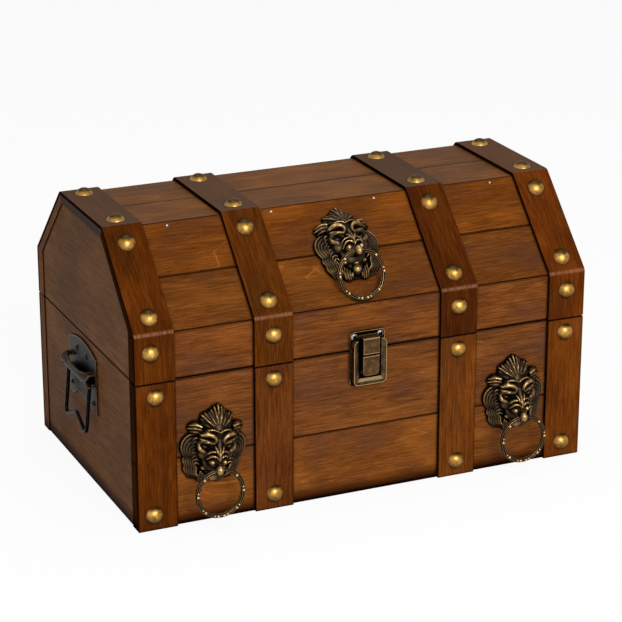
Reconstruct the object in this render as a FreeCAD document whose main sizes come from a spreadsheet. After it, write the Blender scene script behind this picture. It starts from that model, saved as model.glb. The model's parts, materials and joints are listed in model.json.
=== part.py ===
import FreeCAD
import Part
import math
import os
import re
import Sketcher

# Treasure chest: a planked wooden box with a hinged, hipped lid, wooden straps held by domed nails,
# three lion-head ring pulls, a drop handle on each end and a lever latch at the front.
# Origin at the centre of the bottom face; +X to the right, the front faces -Y, +Z up; millimetres.

SIZES = {
    # Box and lid boards
    "lid_length": 356,
    "depth": 212,
    "base_height": 111,
    "seam_gap": 1,
    "lid_wall_rise": 35,
    "roof_rise": 60,
    "roof_angle": 45,
    "wall": 10,
    "end_board": 10,
    "roof_board": 6,
    "floor_board": 6,
    "end_inset": 0.8,
    "groove": 0.7,
    "eave_groove": 1.4,
    "front_joint": 51.5,
    # Straps
    "strap_width": 29.5,
    "strap": 2.5,
    "strap_spacing": 73.5,
    "strap_bend": 5,
    # Domed nails and brads
    "nail_head": 13,
    "nail_dome": 4.3,
    "nail_shank": 2,
    "nail_length": 7.5,
    "base_nail_top": 10.5,
    "base_nail_foot": 11.5,
    "wall_nail": 21.7,
    "slope_nail_low": 12,
    "slope_nail_high": 13.5,
    "top_nail": 11.5,
    "nail_drift": 2.8,
    "brad": 1.6,
    "brad_length": 10,
    "brad_proud": 0.3,
    "brad_drop": 3.5,
    # Butt hinges at the back
    "hinge_width": 36,
    "leaf": 1.2,
    "leaf_height": 18,
    "knuckle": 2.5,
    "leaf_gap": 0.5,
    "knuckle_gap": 0.3,
    "hinge_pin": 1.2,
    "pin_clearance": 0.05,
    "pin_end": 0.6,
    "hinge_screw_side": 11,
    "hinge_screw_drop": 11,
    "lid_open": 110,
    "stop_width": 6,
    "stop_thick": 1.2,
    "stop_length": 4.3,
    "stop_gap": 0.1,
    # Round-head wood screws
    "screw_head": 5,
    "screw_dome": 1.3,
    "screw_shank": 2,
    "screw_length": 8,
    "screw_slot": 0.7,
    "screw_slot_deep": 0.6,
    "screw_slot_long": 3.2,
    "hole_clearance": 0.1,
    # Lever latch
    "latch_width": 27.6,
    "latch_plate": 1.2,
    "latch_corner": 3,
    "latch_drop": 26.1,
    "latch_depth": 7,
    "keeper_rise": 13.8,
    "keeper_lip": 1.4,
    "keeper_block": 12,
    "latch_tab": 13.2,
    "tab_edge": 0.8,
    "tab_proud": 2.2,
    "keeper_screw_side": 10.3,
    "keeper_screw_rise": 10.1,
    "pivot_rise": 5.2,
    "pivot_out": 4.8,
    "pivot_pin": 1.1,
    "pivot_pin_end": 12.3,
    "lever_width": 25.8,
    "lever_window": 16,
    "lever_margin": 1.5,
    "lever_foot": 6,
    "lever_back": 2,
    "lever_corner": 3.5,
    "window_corner": 2.6,
    "lever_bevel": 3.2,
    "lever_bevel_deep": 1.3,
    "arm_end": 3.2,
    "ear": 0.8,
    "ear_gap": 0.35,
    "ear_back": 2,
    "ear_root": 16,
    "ear_top": 2.2,
    "link_back": 3,
    "link_proud": 1.6,
    "link_gap": 1.7,
    "link_foot_gap": 1.2,
    "link_corner": 3,
    "link_pin": 1,
    "link_pin_end": 10,
    "link_pin_rise": 2.4,
    "flat_screw_head": 4.4,
    "flat_screw_side": 10.5,
    "flat_screw_drop": 13,
    # Lion-head ring pulls
    "lion_length": 60,
    "lion_left_tilt": -7.5,
    "lion_right_tilt": 2.3,
    "lion_lid_tilt": 0,
    "lion_plate": 3.5,
    "lion_left_outset": 4,
    "lion_right_outset": 2.4,
    "lion_height": 45,
    "lid_lion_rise": 33,
    "lid_lion_side": -2,
    "ball_radius": 3.2,
    "ball_out": 19,
    "tongue_radius": 2.4,
    "ring_radius": 17.3,
    "ring_tube": 1.9,
    "ring_end": 4,
    "ring_pin": 0.9,
    "ring_pin_inner": 0.8,
    "ring_rest_gap": 0.3,
    "lion_screw_rise": 18,
    "lion_screw_bite": 7,
    "lion_screw_shank": 3,
    "lion_screw_head": 7,
    "lion_screw_dome": 1.8,
    # Drop handles on the ends
    "handle_shift": 5,
    "handle_width": 60,
    "handle_plate": 1.5,
    "handle_below_rim": 4,
    "handle_arch": 6,
    "handle_waist_drop": 44.5,
    "handle_foot_drop": 49,
    "handle_leg": 8,
    "handle_leg_slope": 8,
    "handle_screw_side": 10.6,
    "handle_screw_drop": 9.3,
    "handle_foot_screw_side": 24,
    "handle_foot_screw_drop": 41,
    "barrel_radius": 5.3,
    "barrel_wall": 1,
    "barrel_out": 4,
    "barrel_drop": 22.5,
    "barrel_length": 56,
    "scoop_chord": 48,
    "scoop_above": 2.6,
    "bail_wire": 3,
    "bail_width": 50,
    "bail_drop": 41,
    "bail_peak": 10,
    "bail_out": 4.2,
    "bail_tilt": 5.5,
    "bail_gap": 0.3,
    "bail_slot": 0.8,
    "bail_top_bend": 2.6,
    "bail_low_bend": 4,
    "bail_peak_bend": 5,
}
# Places of the brads along the lid, as shares of its length
BRAD_SHARES = (-0.365, -0.14, 0.09, 0.36)

doc = FreeCAD.newDocument("treasure_chest")
sheet = doc.addObject("Spreadsheet::Sheet", "sizes")
for row, (name, value) in enumerate(SIZES.items(), start=1):
    sheet.set(f"A{row}", name)
    sheet.set(f"B{row}", str(value))
    sheet.setAlias(f"B{row}", name)
doc.recompute()
NODES = []

# Formulas that several pieces share
FACE = "(depth / 2)"
RIM = "(base_height + seam_gap)"
EAVE = f"({RIM} + lid_wall_rise)"
CREST = f"({EAVE} + roof_rise)"
FLAT = f"({FACE} - roof_rise / tan(roof_angle))"
SLANT = "(roof_rise / sin(roof_angle))"
LID_END = "(lid_length / 2)"
END_FACE = f"({LID_END} - end_inset)"
EAVE_SHARE = "tan(45 - roof_angle / 2)"
CREST_SHARE = "tan(roof_angle / 2)"
END_STRAP = f"({LID_END} - strap_width / 2)"
BAY = f"((strap_spacing + {END_STRAP}) / 2)"
HINGE_Y = f"({FACE} + knuckle)"
HINGE_Z = "(base_height + seam_gap / 2)"


def formula(text):
    """Spell a formula for the document, with each size read from its cell of the sheet."""
    return re.sub(r"[a-z_]+", lambda word: ("sizes." if word.group() in SIZES else "") + word.group(), text)


def number(text):
    """The present value of a formula."""
    return float(sheet.evalExpression(formula(text)))


def bind(thing, formulas):
    for path, text in formulas.items():
        thing.setExpression(path, formula(text))


def place(thing, across="0", along="0", up="0"):
    bind(thing, {"Placement.Base.x": across, "Placement.Base.y": along, "Placement.Base.z": up})
    return thing


def turn(thing, axis, degrees):
    """Turn a piece about an axis through its own origin."""
    rotation = FreeCAD.Rotation(FreeCAD.Vector(*axis), degrees)
    thing.Placement = FreeCAD.Placement(thing.Placement.Base, rotation)
    return thing


def node(thing, label):
    """Name a finished piece and keep it for the parts folder."""
    thing.Label = label
    NODES.append(thing)
    return thing


def box(name, length, width, height):
    thing = doc.addObject("Part::Box", name)
    bind(thing, {"Length": length, "Width": width, "Height": height})
    return thing


def rod(name, radius, length, axis="Z"):
    """A cylinder that starts at its own origin and runs along +X, +Y or +Z."""
    thing = doc.addObject("Part::Cylinder", name)
    bind(thing, {"Radius": radius, "Height": length})
    turns = {"X": ((0, 1, 0), 90), "Y": ((1, 0, 0), -90), "Z": ((0, 0, 1), 0)}
    return turn(thing, *turns[axis])


def ellipsoid(name, across, along, up):
    thing = doc.addObject("Part::Ellipsoid", name)
    bind(thing, {"Radius1": up, "Radius2": across, "Radius3": along})
    return thing


def fuse(name, pieces):
    thing = doc.addObject("Part::MultiFuse", name)
    thing.Shapes = pieces
    return thing


def cut(name, piece, tools):
    thing = doc.addObject("Part::Cut", name)
    thing.Base = piece
    thing.Tool = tools[0] if len(tools) == 1 else fuse(name + "_tools", tools)
    return thing


def common(name, piece, tool):
    thing = doc.addObject("Part::Common", name)
    thing.Base = piece
    thing.Tool = tool
    return thing


def group(name, pieces):
    thing = doc.addObject("Part::Compound", name)
    thing.Links = pieces
    return thing


def outline(body, name, plane, corners):
    """A closed sketch of straight lines, each corner held by two formulas."""
    sketch = body.newObject("Sketcher::SketchObject", name)
    support = [feature for feature in body.Origin.OriginFeatures if feature.Role == plane][0]
    sketch.AttachmentSupport = [(support, "")]
    sketch.MapMode = "FlatFace"
    points = [FreeCAD.Vector(number(across), number(up), 0) for across, up in corners]
    count = len(points)
    for index, point in enumerate(points):
        sketch.addGeometry(Part.LineSegment(point, points[(index + 1) % count]), False)
    bonds = [Sketcher.Constraint("Coincident", index, 2, (index + 1) % count, 1) for index in range(count)]
    sketch.addConstraint(bonds)
    for index, corner in enumerate(corners):
        for kind, text in zip(("DistanceX", "DistanceY"), corner):
            held = sketch.addConstraint(Sketcher.Constraint(kind, -1, 1, index, 1, number(text)))
            sketch.setExpression(f"Constraints[{held}]", formula(text))
    return sketch


def padded(name, plane, corners, run, middle=False):
    """A body: an outline on an origin plane, padded one way or evenly both ways."""
    body = doc.addObject("PartDesign::Body", name)
    pad = body.newObject("PartDesign::Pad", name + "_pad")
    pad.Profile = outline(body, name + "_outline", plane, corners)
    bind(pad, {"Length": run})
    pad.SideType = "Symmetric" if middle else "One side"
    doc.recompute()
    return body


def edges_through(shape, points):
    """Names of the straight edges that pass through any of the points between their ends."""
    near = 0.001
    found = []
    for index, edge in enumerate(shape.Edges, start=1):
        for point in points:
            inside = edge.distToShape(Part.Vertex(FreeCAD.Vector(*point)))[0] < near
            spot = FreeCAD.Vector(*point)
            at_end = any(vertex.Point.distanceToPoint(spot) < near for vertex in edge.Vertexes)
            if inside and not at_end:
                found.append(f"Edge{index}")
    return found


def round_edges(body, name, radius, points):
    """Round the edges of a body that pass through the given points."""
    base = body.Tip
    fillet = body.newObject("PartDesign::Fillet", name)
    fillet.Base = (base, edges_through(base.Shape, points))
    bind(fillet, {"Radius": radius})
    doc.recompute()


def copies(name, pattern, seats):
    """Copies of one pattern, each set on a seat: a place and the way its head faces."""
    shapes = []
    for spot, facing in seats:
        shape = pattern.Shape.copy()
        rotation = FreeCAD.Rotation(FreeCAD.Vector(0, 0, 1), FreeCAD.Vector(*facing))
        shape.Placement = FreeCAD.Placement(FreeCAD.Vector(*spot), rotation)
        shapes.append(shape)
    thing = doc.addObject("Part::Feature", name)
    thing.Shape = Part.makeCompound(shapes)
    return thing


def on_slope(along, inward="0"):
    """A point of the front slope's section: up the slope from the eave, then into the board."""
    across = f"-{FACE} + ({along}) * cos(roof_angle) + ({inward}) * sin(roof_angle)"
    up = f"{EAVE} + ({along}) * sin(roof_angle) - ({inward}) * cos(roof_angle)"
    return across, up


def mirrored(corners):
    """The same section on the other side of the middle plane."""
    return [(f"-({across})", up) for across, up in corners]


# Base boards: two planks front and back, an end board at each side between them, and the bottom
LOWER_PLANK = [
    (f"-{FACE}", "0"),
    (f"-{FACE}", "front_joint - groove"),
    (f"-{FACE} + groove", "front_joint"),
    (f"-{FACE} + wall", "front_joint"),
    (f"-{FACE} + wall", "0"),
]
UPPER_PLANK = [
    (f"-{FACE} + groove", "front_joint"),
    (f"-{FACE}", "front_joint + groove"),
    (f"-{FACE}", "base_height - groove"),
    (f"-{FACE} + groove", "base_height"),
    (f"-{FACE} + wall", "base_height"),
    (f"-{FACE} + wall", "front_joint"),
]
for side, flip in (("front", list), ("back", mirrored)):
    for level, section in (("lower", LOWER_PLANK), ("upper", UPPER_PLANK)):
        label = f"base_{side}_{level}_plank"
        node(padded(label, "YZ_Plane", flip(section), "lid_length", middle=True), label)

for side, start in (("left", f"-{END_FACE}"), ("right", f"{END_FACE} - end_board")):
    board = box(f"base_{side}_end", "end_board", "depth - 2 * wall", "base_height")
    node(place(board, start, f"wall - {FACE}"), f"base_{side}_end")

FLOOR_HALF = f"({END_FACE} - end_board)"
floor = box("base_bottom", f"2 * {FLOOR_HALF}", "depth - 2 * wall", "floor_board")
node(place(floor, f"-{FLOOR_HALF}", f"wall - {FACE}"), "base_bottom")

# Lid boards: a low wall front and back, two planks on each slope, two on top, and the end boards
EAVE_JOINT = (f"-{FACE} + roof_board", f"{EAVE} - roof_board * {EAVE_SHARE}")
WALL_HEAD = (f"-{FACE} + wall", f"{EAVE} + wall * tan(roof_angle) - roof_board / cos(roof_angle)")
CREST_JOINT = (f"-{FLAT} + roof_board * {CREST_SHARE}", f"{CREST} - roof_board")
HALF_SLANT = f"{SLANT} / 2"
LID_SECTIONS = {
    "wall": [
        (f"-{FACE} + groove", RIM),
        (f"-{FACE}", f"{RIM} + groove"),
        (f"-{FACE}", f"{EAVE} - eave_groove"),
        (f"-{FACE} + groove", f"{EAVE} - groove * {EAVE_SHARE}"),
        EAVE_JOINT,
        WALL_HEAD,
        (f"-{FACE} + wall", RIM),
    ],
    "slope_lower": [
        (f"-{FACE}", EAVE),
        on_slope(f"{HALF_SLANT} - groove"),
        on_slope(HALF_SLANT, "groove"),
        on_slope(HALF_SLANT, "roof_board"),
        EAVE_JOINT,
    ],
    "slope_upper": [
        on_slope(HALF_SLANT, "groove"),
        on_slope(f"{HALF_SLANT} + groove"),
        (f"-{FLAT}", CREST),
        CREST_JOINT,
        on_slope(HALF_SLANT, "roof_board"),
    ],
    "top": [
        (f"-{FLAT}", CREST),
        ("-groove", CREST),
        ("0", f"{CREST} - groove"),
        ("0", f"{CREST} - roof_board"),
        CREST_JOINT,
    ],
}
for side, flip in (("front", list), ("back", mirrored)):
    for level, section in LID_SECTIONS.items():
        label = f"lid_{side}_{level}"
        node(padded(label, "YZ_Plane", flip(section), "lid_length", middle=True), label)

GABLE_HALF = [(f"-{FACE} + wall", RIM), WALL_HEAD, CREST_JOINT]
GABLE = GABLE_HALF + mirrored(GABLE_HALF)[::-1]
for side, start in (("left", f"end_inset - {LID_END}"), ("right", f"{LID_END} - end_inset - end_board")):
    gable = padded(f"lid_{side}_end", "YZ_Plane", GABLE, "end_board")
    node(place(gable, start), f"lid_{side}_end")

# Straps: four flat bands on the base's front and back, and four bands bent over the lid
STRAPS = (f"-{END_STRAP}", "-strap_spacing", "strap_spacing", END_STRAP)
for side, start in (("front", f"-{FACE} - strap"), ("back", FACE)):
    for count, middle in enumerate(STRAPS, start=1):
        label = f"base_{side}_strap_{count}"
        band = box(label, "strap_width", "strap", "base_height")
        node(place(band, f"{middle} - strap_width / 2", start), label)

BEND_EAVE = (f"-{FACE} - strap", f"{EAVE} + strap * {EAVE_SHARE}")
BEND_CREST = (f"-{FLAT} - strap * {CREST_SHARE}", f"{CREST} + strap")
BAND_HALF = [(f"-{FACE} - strap", RIM), BEND_EAVE, BEND_CREST]
UNDER_HALF = [(f"-{FACE}", RIM), (f"-{FACE}", EAVE), (f"-{FLAT}", CREST)]
BAND = BAND_HALF + mirrored(BAND_HALF)[::-1] + mirrored(UNDER_HALF) + UNDER_HALF[::-1]
BENDS = [BEND_EAVE, BEND_CREST] + mirrored([BEND_EAVE, BEND_CREST])
for count, middle in enumerate(STRAPS, start=1):
    label = f"lid_strap_{count}"
    band = padded(label, "YZ_Plane", BAND, "strap_width", middle=True)
    round_edges(band, label + "_bends", "strap_bend", [(0, number(y), number(z)) for y, z in BENDS])
    node(place(band, middle), label)


def domed(name, head, dome, shank, length):
    """A domed head on a round shank; the head's seat is at the origin and its crown along +Z."""
    sphere = doc.addObject("Part::Sphere", name + "_head")
    radius = f"((({head}) ^ 2 / 4 + ({dome}) ^ 2) / (2 * ({dome})))"
    bind(sphere, {"Radius": radius, "Angle1": f"asin(1 - ({dome}) / {radius})"})
    place(sphere, up=f"{dome} - {radius}")
    pin = place(rod(name + "_shank", f"({shank}) / 2", length), up=f"-({length})")
    return fuse(name, [sphere, pin])


def slotted(name, head, dome, shank, length):
    """A domed screw with a cross cut in its head."""
    bars = []
    cross = (("screw_slot_long", "screw_slot"), ("screw_slot", "screw_slot_long"))
    for count, (across, along) in enumerate(cross):
        bar = box(f"{name}_slot_{count}", across, along, dome)
        bars.append(place(bar, f"-({across}) / 2", f"-({along}) / 2", f"{dome} - screw_slot_deep"))
    return cut(name, domed(name + "_blank", head, dome, shank, length), bars)


# Nails: domed brass heads on every strap, with their shanks in the boards; on the left front strap
# the lowest nail and the lid wall's nail were driven off the strap's middle line
nail = domed("nail", "nail_head", "nail_dome", "nail_shank", "nail_length")
SCREW_HOLE = "screw_shank / 2 + hole_clearance"
screw = slotted("screw", "screw_head", "screw_dome", "screw_shank", "screw_length")
doc.recompute()

STRAP_FACE = f"({FACE} + strap)"
base_seats = []
for middle in STRAPS:
    for height in ("base_nail_foot", "base_height - base_nail_top"):
        for way in (-1, 1):
            x = number(middle)
            if middle == STRAPS[0] and height == "base_nail_foot" and way < 0:
                x -= number("nail_drift")
            base_seats.append(((x, way * number(STRAP_FACE), number(height)), (0, way, 0)))
node(copies("base_nails", nail, base_seats), "base_nails")

SINE = number("sin(roof_angle)")
COSINE = number("cos(roof_angle)")
lid_seats = []
for middle in STRAPS:
    x = number(middle)
    for way in (-1, 1):
        drift = number("nail_drift") if middle == STRAPS[0] and way < 0 else 0
        lid_seats.append(((x - drift, way * number(STRAP_FACE), number(f"{RIM} + wall_nail")), (0, way, 0)))
        crest_spot = (x, way * number(f"{FLAT} - top_nail"), number(f"{CREST} + strap"))
        lid_seats.append((crest_spot, (0, 0, 1)))
        for along in ("slope_nail_low", f"{SLANT} - slope_nail_high"):
            across, up = on_slope(along, "-strap")
            lid_seats.append(((x, -way * number(across), number(up)), (0, way * SINE, COSINE)))
node(copies("lid_nails", nail, lid_seats), "lid_nails")

# Brads: thin pins through the upper edge of each slope into the top boards
brad_rods = []
across, up = on_slope(f"{SLANT} - brad_drop", "-brad_proud")
for count, share in enumerate(BRAD_SHARES):
    front = rod(f"brad_front_{count}", "brad / 2", "brad_length", "Y")
    back = rod(f"brad_back_{count}", "brad / 2", "brad_length", "Y")
    brad_rods.append(place(front, f"{share} * lid_length", across, up))
    brad_rods.append(place(back, f"{share} * lid_length", f"-({across}) - brad_length", up))
node(group("lid_brads", brad_rods), "lid_brads")

# Butt hinges: leaves screwed to the back, knuckles round a pin that lies on the seam
KNUCKLE_LENGTH = "(hinge_width / 3)"
OUTER_KNUCKLES = (
    ("-hinge_width / 2", f"{KNUCKLE_LENGTH} - knuckle_gap"),
    (f"{KNUCKLE_LENGTH} / 2 + knuckle_gap", f"{KNUCKLE_LENGTH} - knuckle_gap"),
)
MIDDLE_KNUCKLE = ((f"-{KNUCKLE_LENGTH} / 2", KNUCKLE_LENGTH),)


def hinge_leaf(name, side, knuckles, bore):
    """A leaf below (-1) or above (+1) the pin, which runs along X through the leaf's own origin."""
    reach = "(knuckle + leaf_gap)"
    low = "-leaf_height" if side < 0 else reach
    pieces = [place(box(name + "_plate", "hinge_width", "leaf", f"leaf_height - {reach}"),
                    "-hinge_width / 2", "-knuckle", low)]
    for count, (start, length) in enumerate(knuckles):
        web = box(f"{name}_web_{count}", length, "leaf", reach)
        pieces.append(place(web, start, "-knuckle", f"-{reach}" if side < 0 else "0"))
        pieces.append(place(rod(f"{name}_knuckle_{count}", "knuckle", length, "X"), start))
    holes = [place(rod(name + "_bore", bore, "2 * hinge_width", "X"), "-hinge_width")]
    for count, way in enumerate(("-1", "1")):
        hole = rod(f"{name}_hole_{count}", SCREW_HOLE, "2 * knuckle", "Y")
        holes.append(place(hole, f"{way} * hinge_screw_side", "-1.5 * knuckle", f"{side} * hinge_screw_drop"))
    return pieces, holes


def hinge_stop(name):
    """A lug on the lid's knuckle that meets the base leaf when the lid is fully open."""
    lug = box(name, "stop_width", "stop_thick", "stop_length")
    rest = "(leaf + stop_gap - knuckle)"
    place(lug, "-stop_width / 2", f"{rest} * cos(lid_open) + stop_length * sin(lid_open)",
          f"{rest} * sin(lid_open) - stop_length * cos(lid_open)")
    lug.Placement.Rotation = FreeCAD.Rotation(FreeCAD.Vector(1, 0, 0), number("lid_open"))
    return lug


hinge_pins = []
hinge_seats = {-1: [], 1: []}
for hand, middle in (("left", f"-{BAY}"), ("right", BAY)):
    for part, side, knuckles, bore in (("base", -1, OUTER_KNUCKLES, "hinge_pin"),
                                       ("lid", 1, MIDDLE_KNUCKLE, "hinge_pin + pin_clearance")):
        label = f"hinge_{part}_leaf_{hand}"
        pieces, holes = hinge_leaf(label, side, knuckles, bore)
        if part == "lid":
            pieces.append(hinge_stop(label + "_stop"))
        leaf = cut(label, fuse(label + "_blank", pieces), holes)
        node(place(leaf, middle, HINGE_Y, HINGE_Z), label)
        for way in (-1, 1):
            x = number(middle) + way * number("hinge_screw_side")
            z = number(HINGE_Z) + side * number("hinge_screw_drop")
            hinge_seats[side].append(((x, number(f"{FACE} + leaf"), z), (0, 1, 0)))
    pin = rod(f"hinge_pin_{hand}", "hinge_pin", "hinge_width + 2 * pin_end", "X")
    hinge_pins.append(place(pin, f"{middle} - hinge_width / 2 - pin_end", HINGE_Y, HINGE_Z))
node(group("hinge_pins", hinge_pins), "hinge_pins")
node(copies("hinge_base_screws", screw, hinge_seats[-1]), "hinge_base_screws")
node(copies("hinge_lid_screws", screw, hinge_seats[1]), "hinge_lid_screws")

# Latch: a keeper on the lid; on the base a plate with two ears, a lever frame that swings up
# on stub pins in the ears, and a link that turns on its own pin in the lever
LATCH_LOW = "(base_height - latch_drop)"
PIVOT_Z = f"({RIM} + pivot_rise)"
KEEPER_LOW = f"({RIM} - keeper_lip)"
LEVER_LOW = f"({LATCH_LOW} + lever_margin)"
WINDOW_LOW = f"({LEVER_LOW} + lever_foot)"
LINK_LOW = f"({WINDOW_LOW} + link_foot_gap)"
LINK_PIN_Z = f"({LINK_LOW} + link_pin_rise)"
LATCH_HALF = "latch_width / 2"
TAB_HALF = "latch_tab / 2"


def upright(half, low, high):
    """A rectangle that stands on the front, evenly about the middle."""
    return [(f"-{half}", low), (half, low), (half, high), (f"-{half}", high)]


keeper_edge = upright(LATCH_HALF, RIM, f"{RIM} + keeper_rise")
keeper = padded("latch_keeper_plate", "XZ_Plane", keeper_edge, "latch_plate")
mid_plate = -number("latch_plate / 2")
keeper_tops = [(way * number(LATCH_HALF), mid_plate, number(f"{RIM} + keeper_rise")) for way in (-1, 1)]
round_edges(keeper, "keeper_corners", "latch_corner", keeper_tops)
KEEPER_TOP = f"({KEEPER_LOW} + keeper_block)"
TAB_DEEP = "(latch_depth + tab_proud)"
block = padded("keeper_tab", "XZ_Plane", upright(TAB_HALF, KEEPER_LOW, KEEPER_TOP), TAB_DEEP)
block_front = -number(TAB_DEEP)
block_edges = [(0, block_front, number(KEEPER_TOP))]
block_middle = number(f"({KEEPER_LOW} + {KEEPER_TOP}) / 2")
block_edges += [(way * number(TAB_HALF), block_front, block_middle) for way in (-1, 1)]
round_edges(block, "keeper_tab_edge", "tab_edge", block_edges)
keeper_holes = []
keeper_seats = []
for way in (-1, 1):
    hole = rod(f"keeper_hole_{way + 1}", SCREW_HOLE, "2 * latch_plate", "Y")
    height = f"{RIM} + keeper_screw_rise"
    keeper_holes.append(place(hole, f"{way} * keeper_screw_side", "-1.5 * latch_plate", height))
    seat = (way * number("keeper_screw_side"), -number(f"{FACE} + latch_plate"), number(height))
    keeper_seats.append((seat, (0, -1, 0)))
# The tab's foot hangs in front of the base plate
foot_step = box("keeper_foot_step", "latch_tab", "1.5 * latch_plate", "seam_gap + keeper_lip")
place(foot_step, f"-{TAB_HALF}", "-1.5 * latch_plate", f"{KEEPER_LOW} - seam_gap")
keeper = cut("latch_keeper", fuse("keeper_blank", [keeper, block]), keeper_holes + [foot_step])
node(place(keeper, along=f"-{FACE}"), "latch_keeper")
node(copies("latch_keeper_screws", screw, keeper_seats), "latch_keeper_screws")

plate = padded("latch_plate_sheet", "XZ_Plane", upright(LATCH_HALF, LATCH_LOW, "base_height"), "latch_plate")
plate_feet = [(way * number(LATCH_HALF), mid_plate, number(LATCH_LOW)) for way in (-1, 1)]
round_edges(plate, "latch_plate_corners", "latch_corner", plate_feet)
EAR = [
    ("-latch_plate / 2", f"{PIVOT_Z} - ear_root"),
    ("-latch_plate / 2", "base_height - seam_gap"),
    ("-ear_back", "base_height"),
    ("-ear_back", f"{PIVOT_Z} + ear_top"),
    ("-pivot_out - ear_top", f"{PIVOT_Z} + ear_top"),
    ("-pivot_out - ear_top", f"{PIVOT_Z} - 2 * ear_top"),
]
EAR_INNER = f"({TAB_HALF} + ear_gap)"
plate_pieces = [plate]
pivot_pins = []
EARS = (("left", f"-{EAR_INNER} - ear", "-pivot_pin_end"), ("right", EAR_INNER, EAR_INNER))
for hand, start, pin_start in EARS:
    plate_pieces.append(place(padded(f"latch_ear_{hand}", "YZ_Plane", EAR, "ear"), start))
    pin = rod(f"latch_pivot_{hand}", "pivot_pin", f"pivot_pin_end - {EAR_INNER}", "X")
    pivot_pins.append(place(pin, pin_start, f"-{FACE} - pivot_out", PIVOT_Z))
ear_bore = rod("ear_bore", "pivot_pin", "latch_width", "X")
plate_holes = [place(ear_bore, f"-{LATCH_HALF}", "-pivot_out", PIVOT_Z)]
flat_seats = []
for way in (-1, 1):
    sink = doc.addObject("Part::Cone", f"latch_sink_{way + 1}")
    bind(sink, {"Radius1": "flat_screw_head / 2", "Radius2": "screw_shank / 2", "Height": "latch_plate"})
    turn(sink, (1, 0, 0), -90)
    height = "base_height - flat_screw_drop"
    plate_holes.append(place(sink, f"{way} * flat_screw_side", "-latch_plate", height))
    seat = (way * number("flat_screw_side"), -number(f"{FACE} + latch_plate"), number(height))
    flat_seats.append((seat, (0, -1, 0)))
plate = cut("latch_base_plate", fuse("latch_plate_blank", plate_pieces), plate_holes)
node(place(plate, along=f"-{FACE}"), "latch_base_plate")
node(group("latch_pivot_pins", pivot_pins), "latch_pivot_pins")

cone = doc.addObject("Part::Cone", "flat_screw_cone")
bind(cone, {"Radius1": "screw_shank / 2", "Radius2": "flat_screw_head / 2", "Height": "latch_plate"})
place(cone, up="-latch_plate")
flat_pin = rod("flat_screw_shank", "screw_shank / 2", "screw_length")
place(flat_pin, up="-screw_length - latch_plate / 2")
flat_screw = fuse("flat_screw", [cone, flat_pin])
doc.recompute()
node(copies("latch_base_screws", flat_screw, flat_seats), "latch_base_screws")

LEVER_HALF = "lever_width / 2"
WINDOW_HALF = "lever_window / 2"
ARM_TOP = f"({PIVOT_Z} + arm_end)"
LEVER_FRAME = [
    (f"-{LEVER_HALF}", LEVER_LOW),
    (LEVER_HALF, LEVER_LOW),
    (LEVER_HALF, ARM_TOP),
    (WINDOW_HALF, ARM_TOP),
    (WINDOW_HALF, WINDOW_LOW),
    (f"-{WINDOW_HALF}", WINDOW_LOW),
    (f"-{WINDOW_HALF}", ARM_TOP),
    (f"-{LEVER_HALF}", ARM_TOP),
]
LEVER_DEEP = "(latch_depth - lever_back)"
frame = padded("lever_frame", "XZ_Plane", LEVER_FRAME, LEVER_DEEP)
half_deep = -number(LEVER_DEEP) / 2
frame_corners = [(way * number(LEVER_HALF), half_deep, number(z))
                 for way in (-1, 1) for z in (LEVER_LOW, ARM_TOP)]
round_edges(frame, "lever_corners", "lever_corner", frame_corners)
window_feet = [(way * number(WINDOW_HALF), half_deep, number(WINDOW_LOW)) for way in (-1, 1)]
round_edges(frame, "window_corners", "window_corner", window_feet)
# The bevel that slopes from the frame's face into its window is cut by a tapered plug
bevel_share = "(lever_bevel / lever_bevel_deep)"
PLUG_HALF = f"({WINDOW_HALF} + lever_bevel)"
plug_edge = upright(PLUG_HALF, f"{WINDOW_LOW} - lever_bevel", f"{ARM_TOP} + arm_end")
plug = padded("lever_plug", "XZ_Plane", plug_edge, "lever_bevel_deep")
plug.Tip.Reversed = True
bind(plug.Tip, {"TaperAngle": f"-atan({bevel_share})"})
doc.recompute()
slanted = number("lever_bevel") / 2
plug_feet = [(way * (number(PLUG_HALF) - slanted), number("lever_bevel_deep") / 2,
              number(WINDOW_LOW) - slanted) for way in (-1, 1)]
round_edges(plug, "plug_corners", "window_corner", plug_feet)
place(plug, along=f"-{LEVER_DEEP}")
doc.recompute()
arm_round = place(rod("lever_arm_round", "arm_end", "lever_width", "X"), f"-{LEVER_HALF}",
                  "lever_back - pivot_out", PIVOT_Z)
arm_below = box("lever_arm_below", "lever_width", "2 * latch_depth", f"{PIVOT_Z} - {LEVER_LOW}")
place(arm_below, f"-{LEVER_HALF}", "-1.5 * latch_depth", LEVER_LOW)
arm_keep = fuse("lever_arm_keep", [arm_round, arm_below])
lever_holes = [
    place(rod("lever_pivot_bore", "pivot_pin + pin_clearance", "2 * lever_width", "X"), "-lever_width",
          "lever_back - pivot_out", PIVOT_Z),
    place(rod("lever_link_bore", "link_pin + pin_clearance", "2 * link_pin_end + 2 * pin_end", "X"),
          "-link_pin_end - pin_end", "lever_back - pivot_out", LINK_PIN_Z),
    plug,
]
lever = cut("latch_lever", common("lever_shaped", frame, arm_keep), lever_holes)
node(place(lever, along=f"-{FACE} - lever_back"), "latch_lever")

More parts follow.
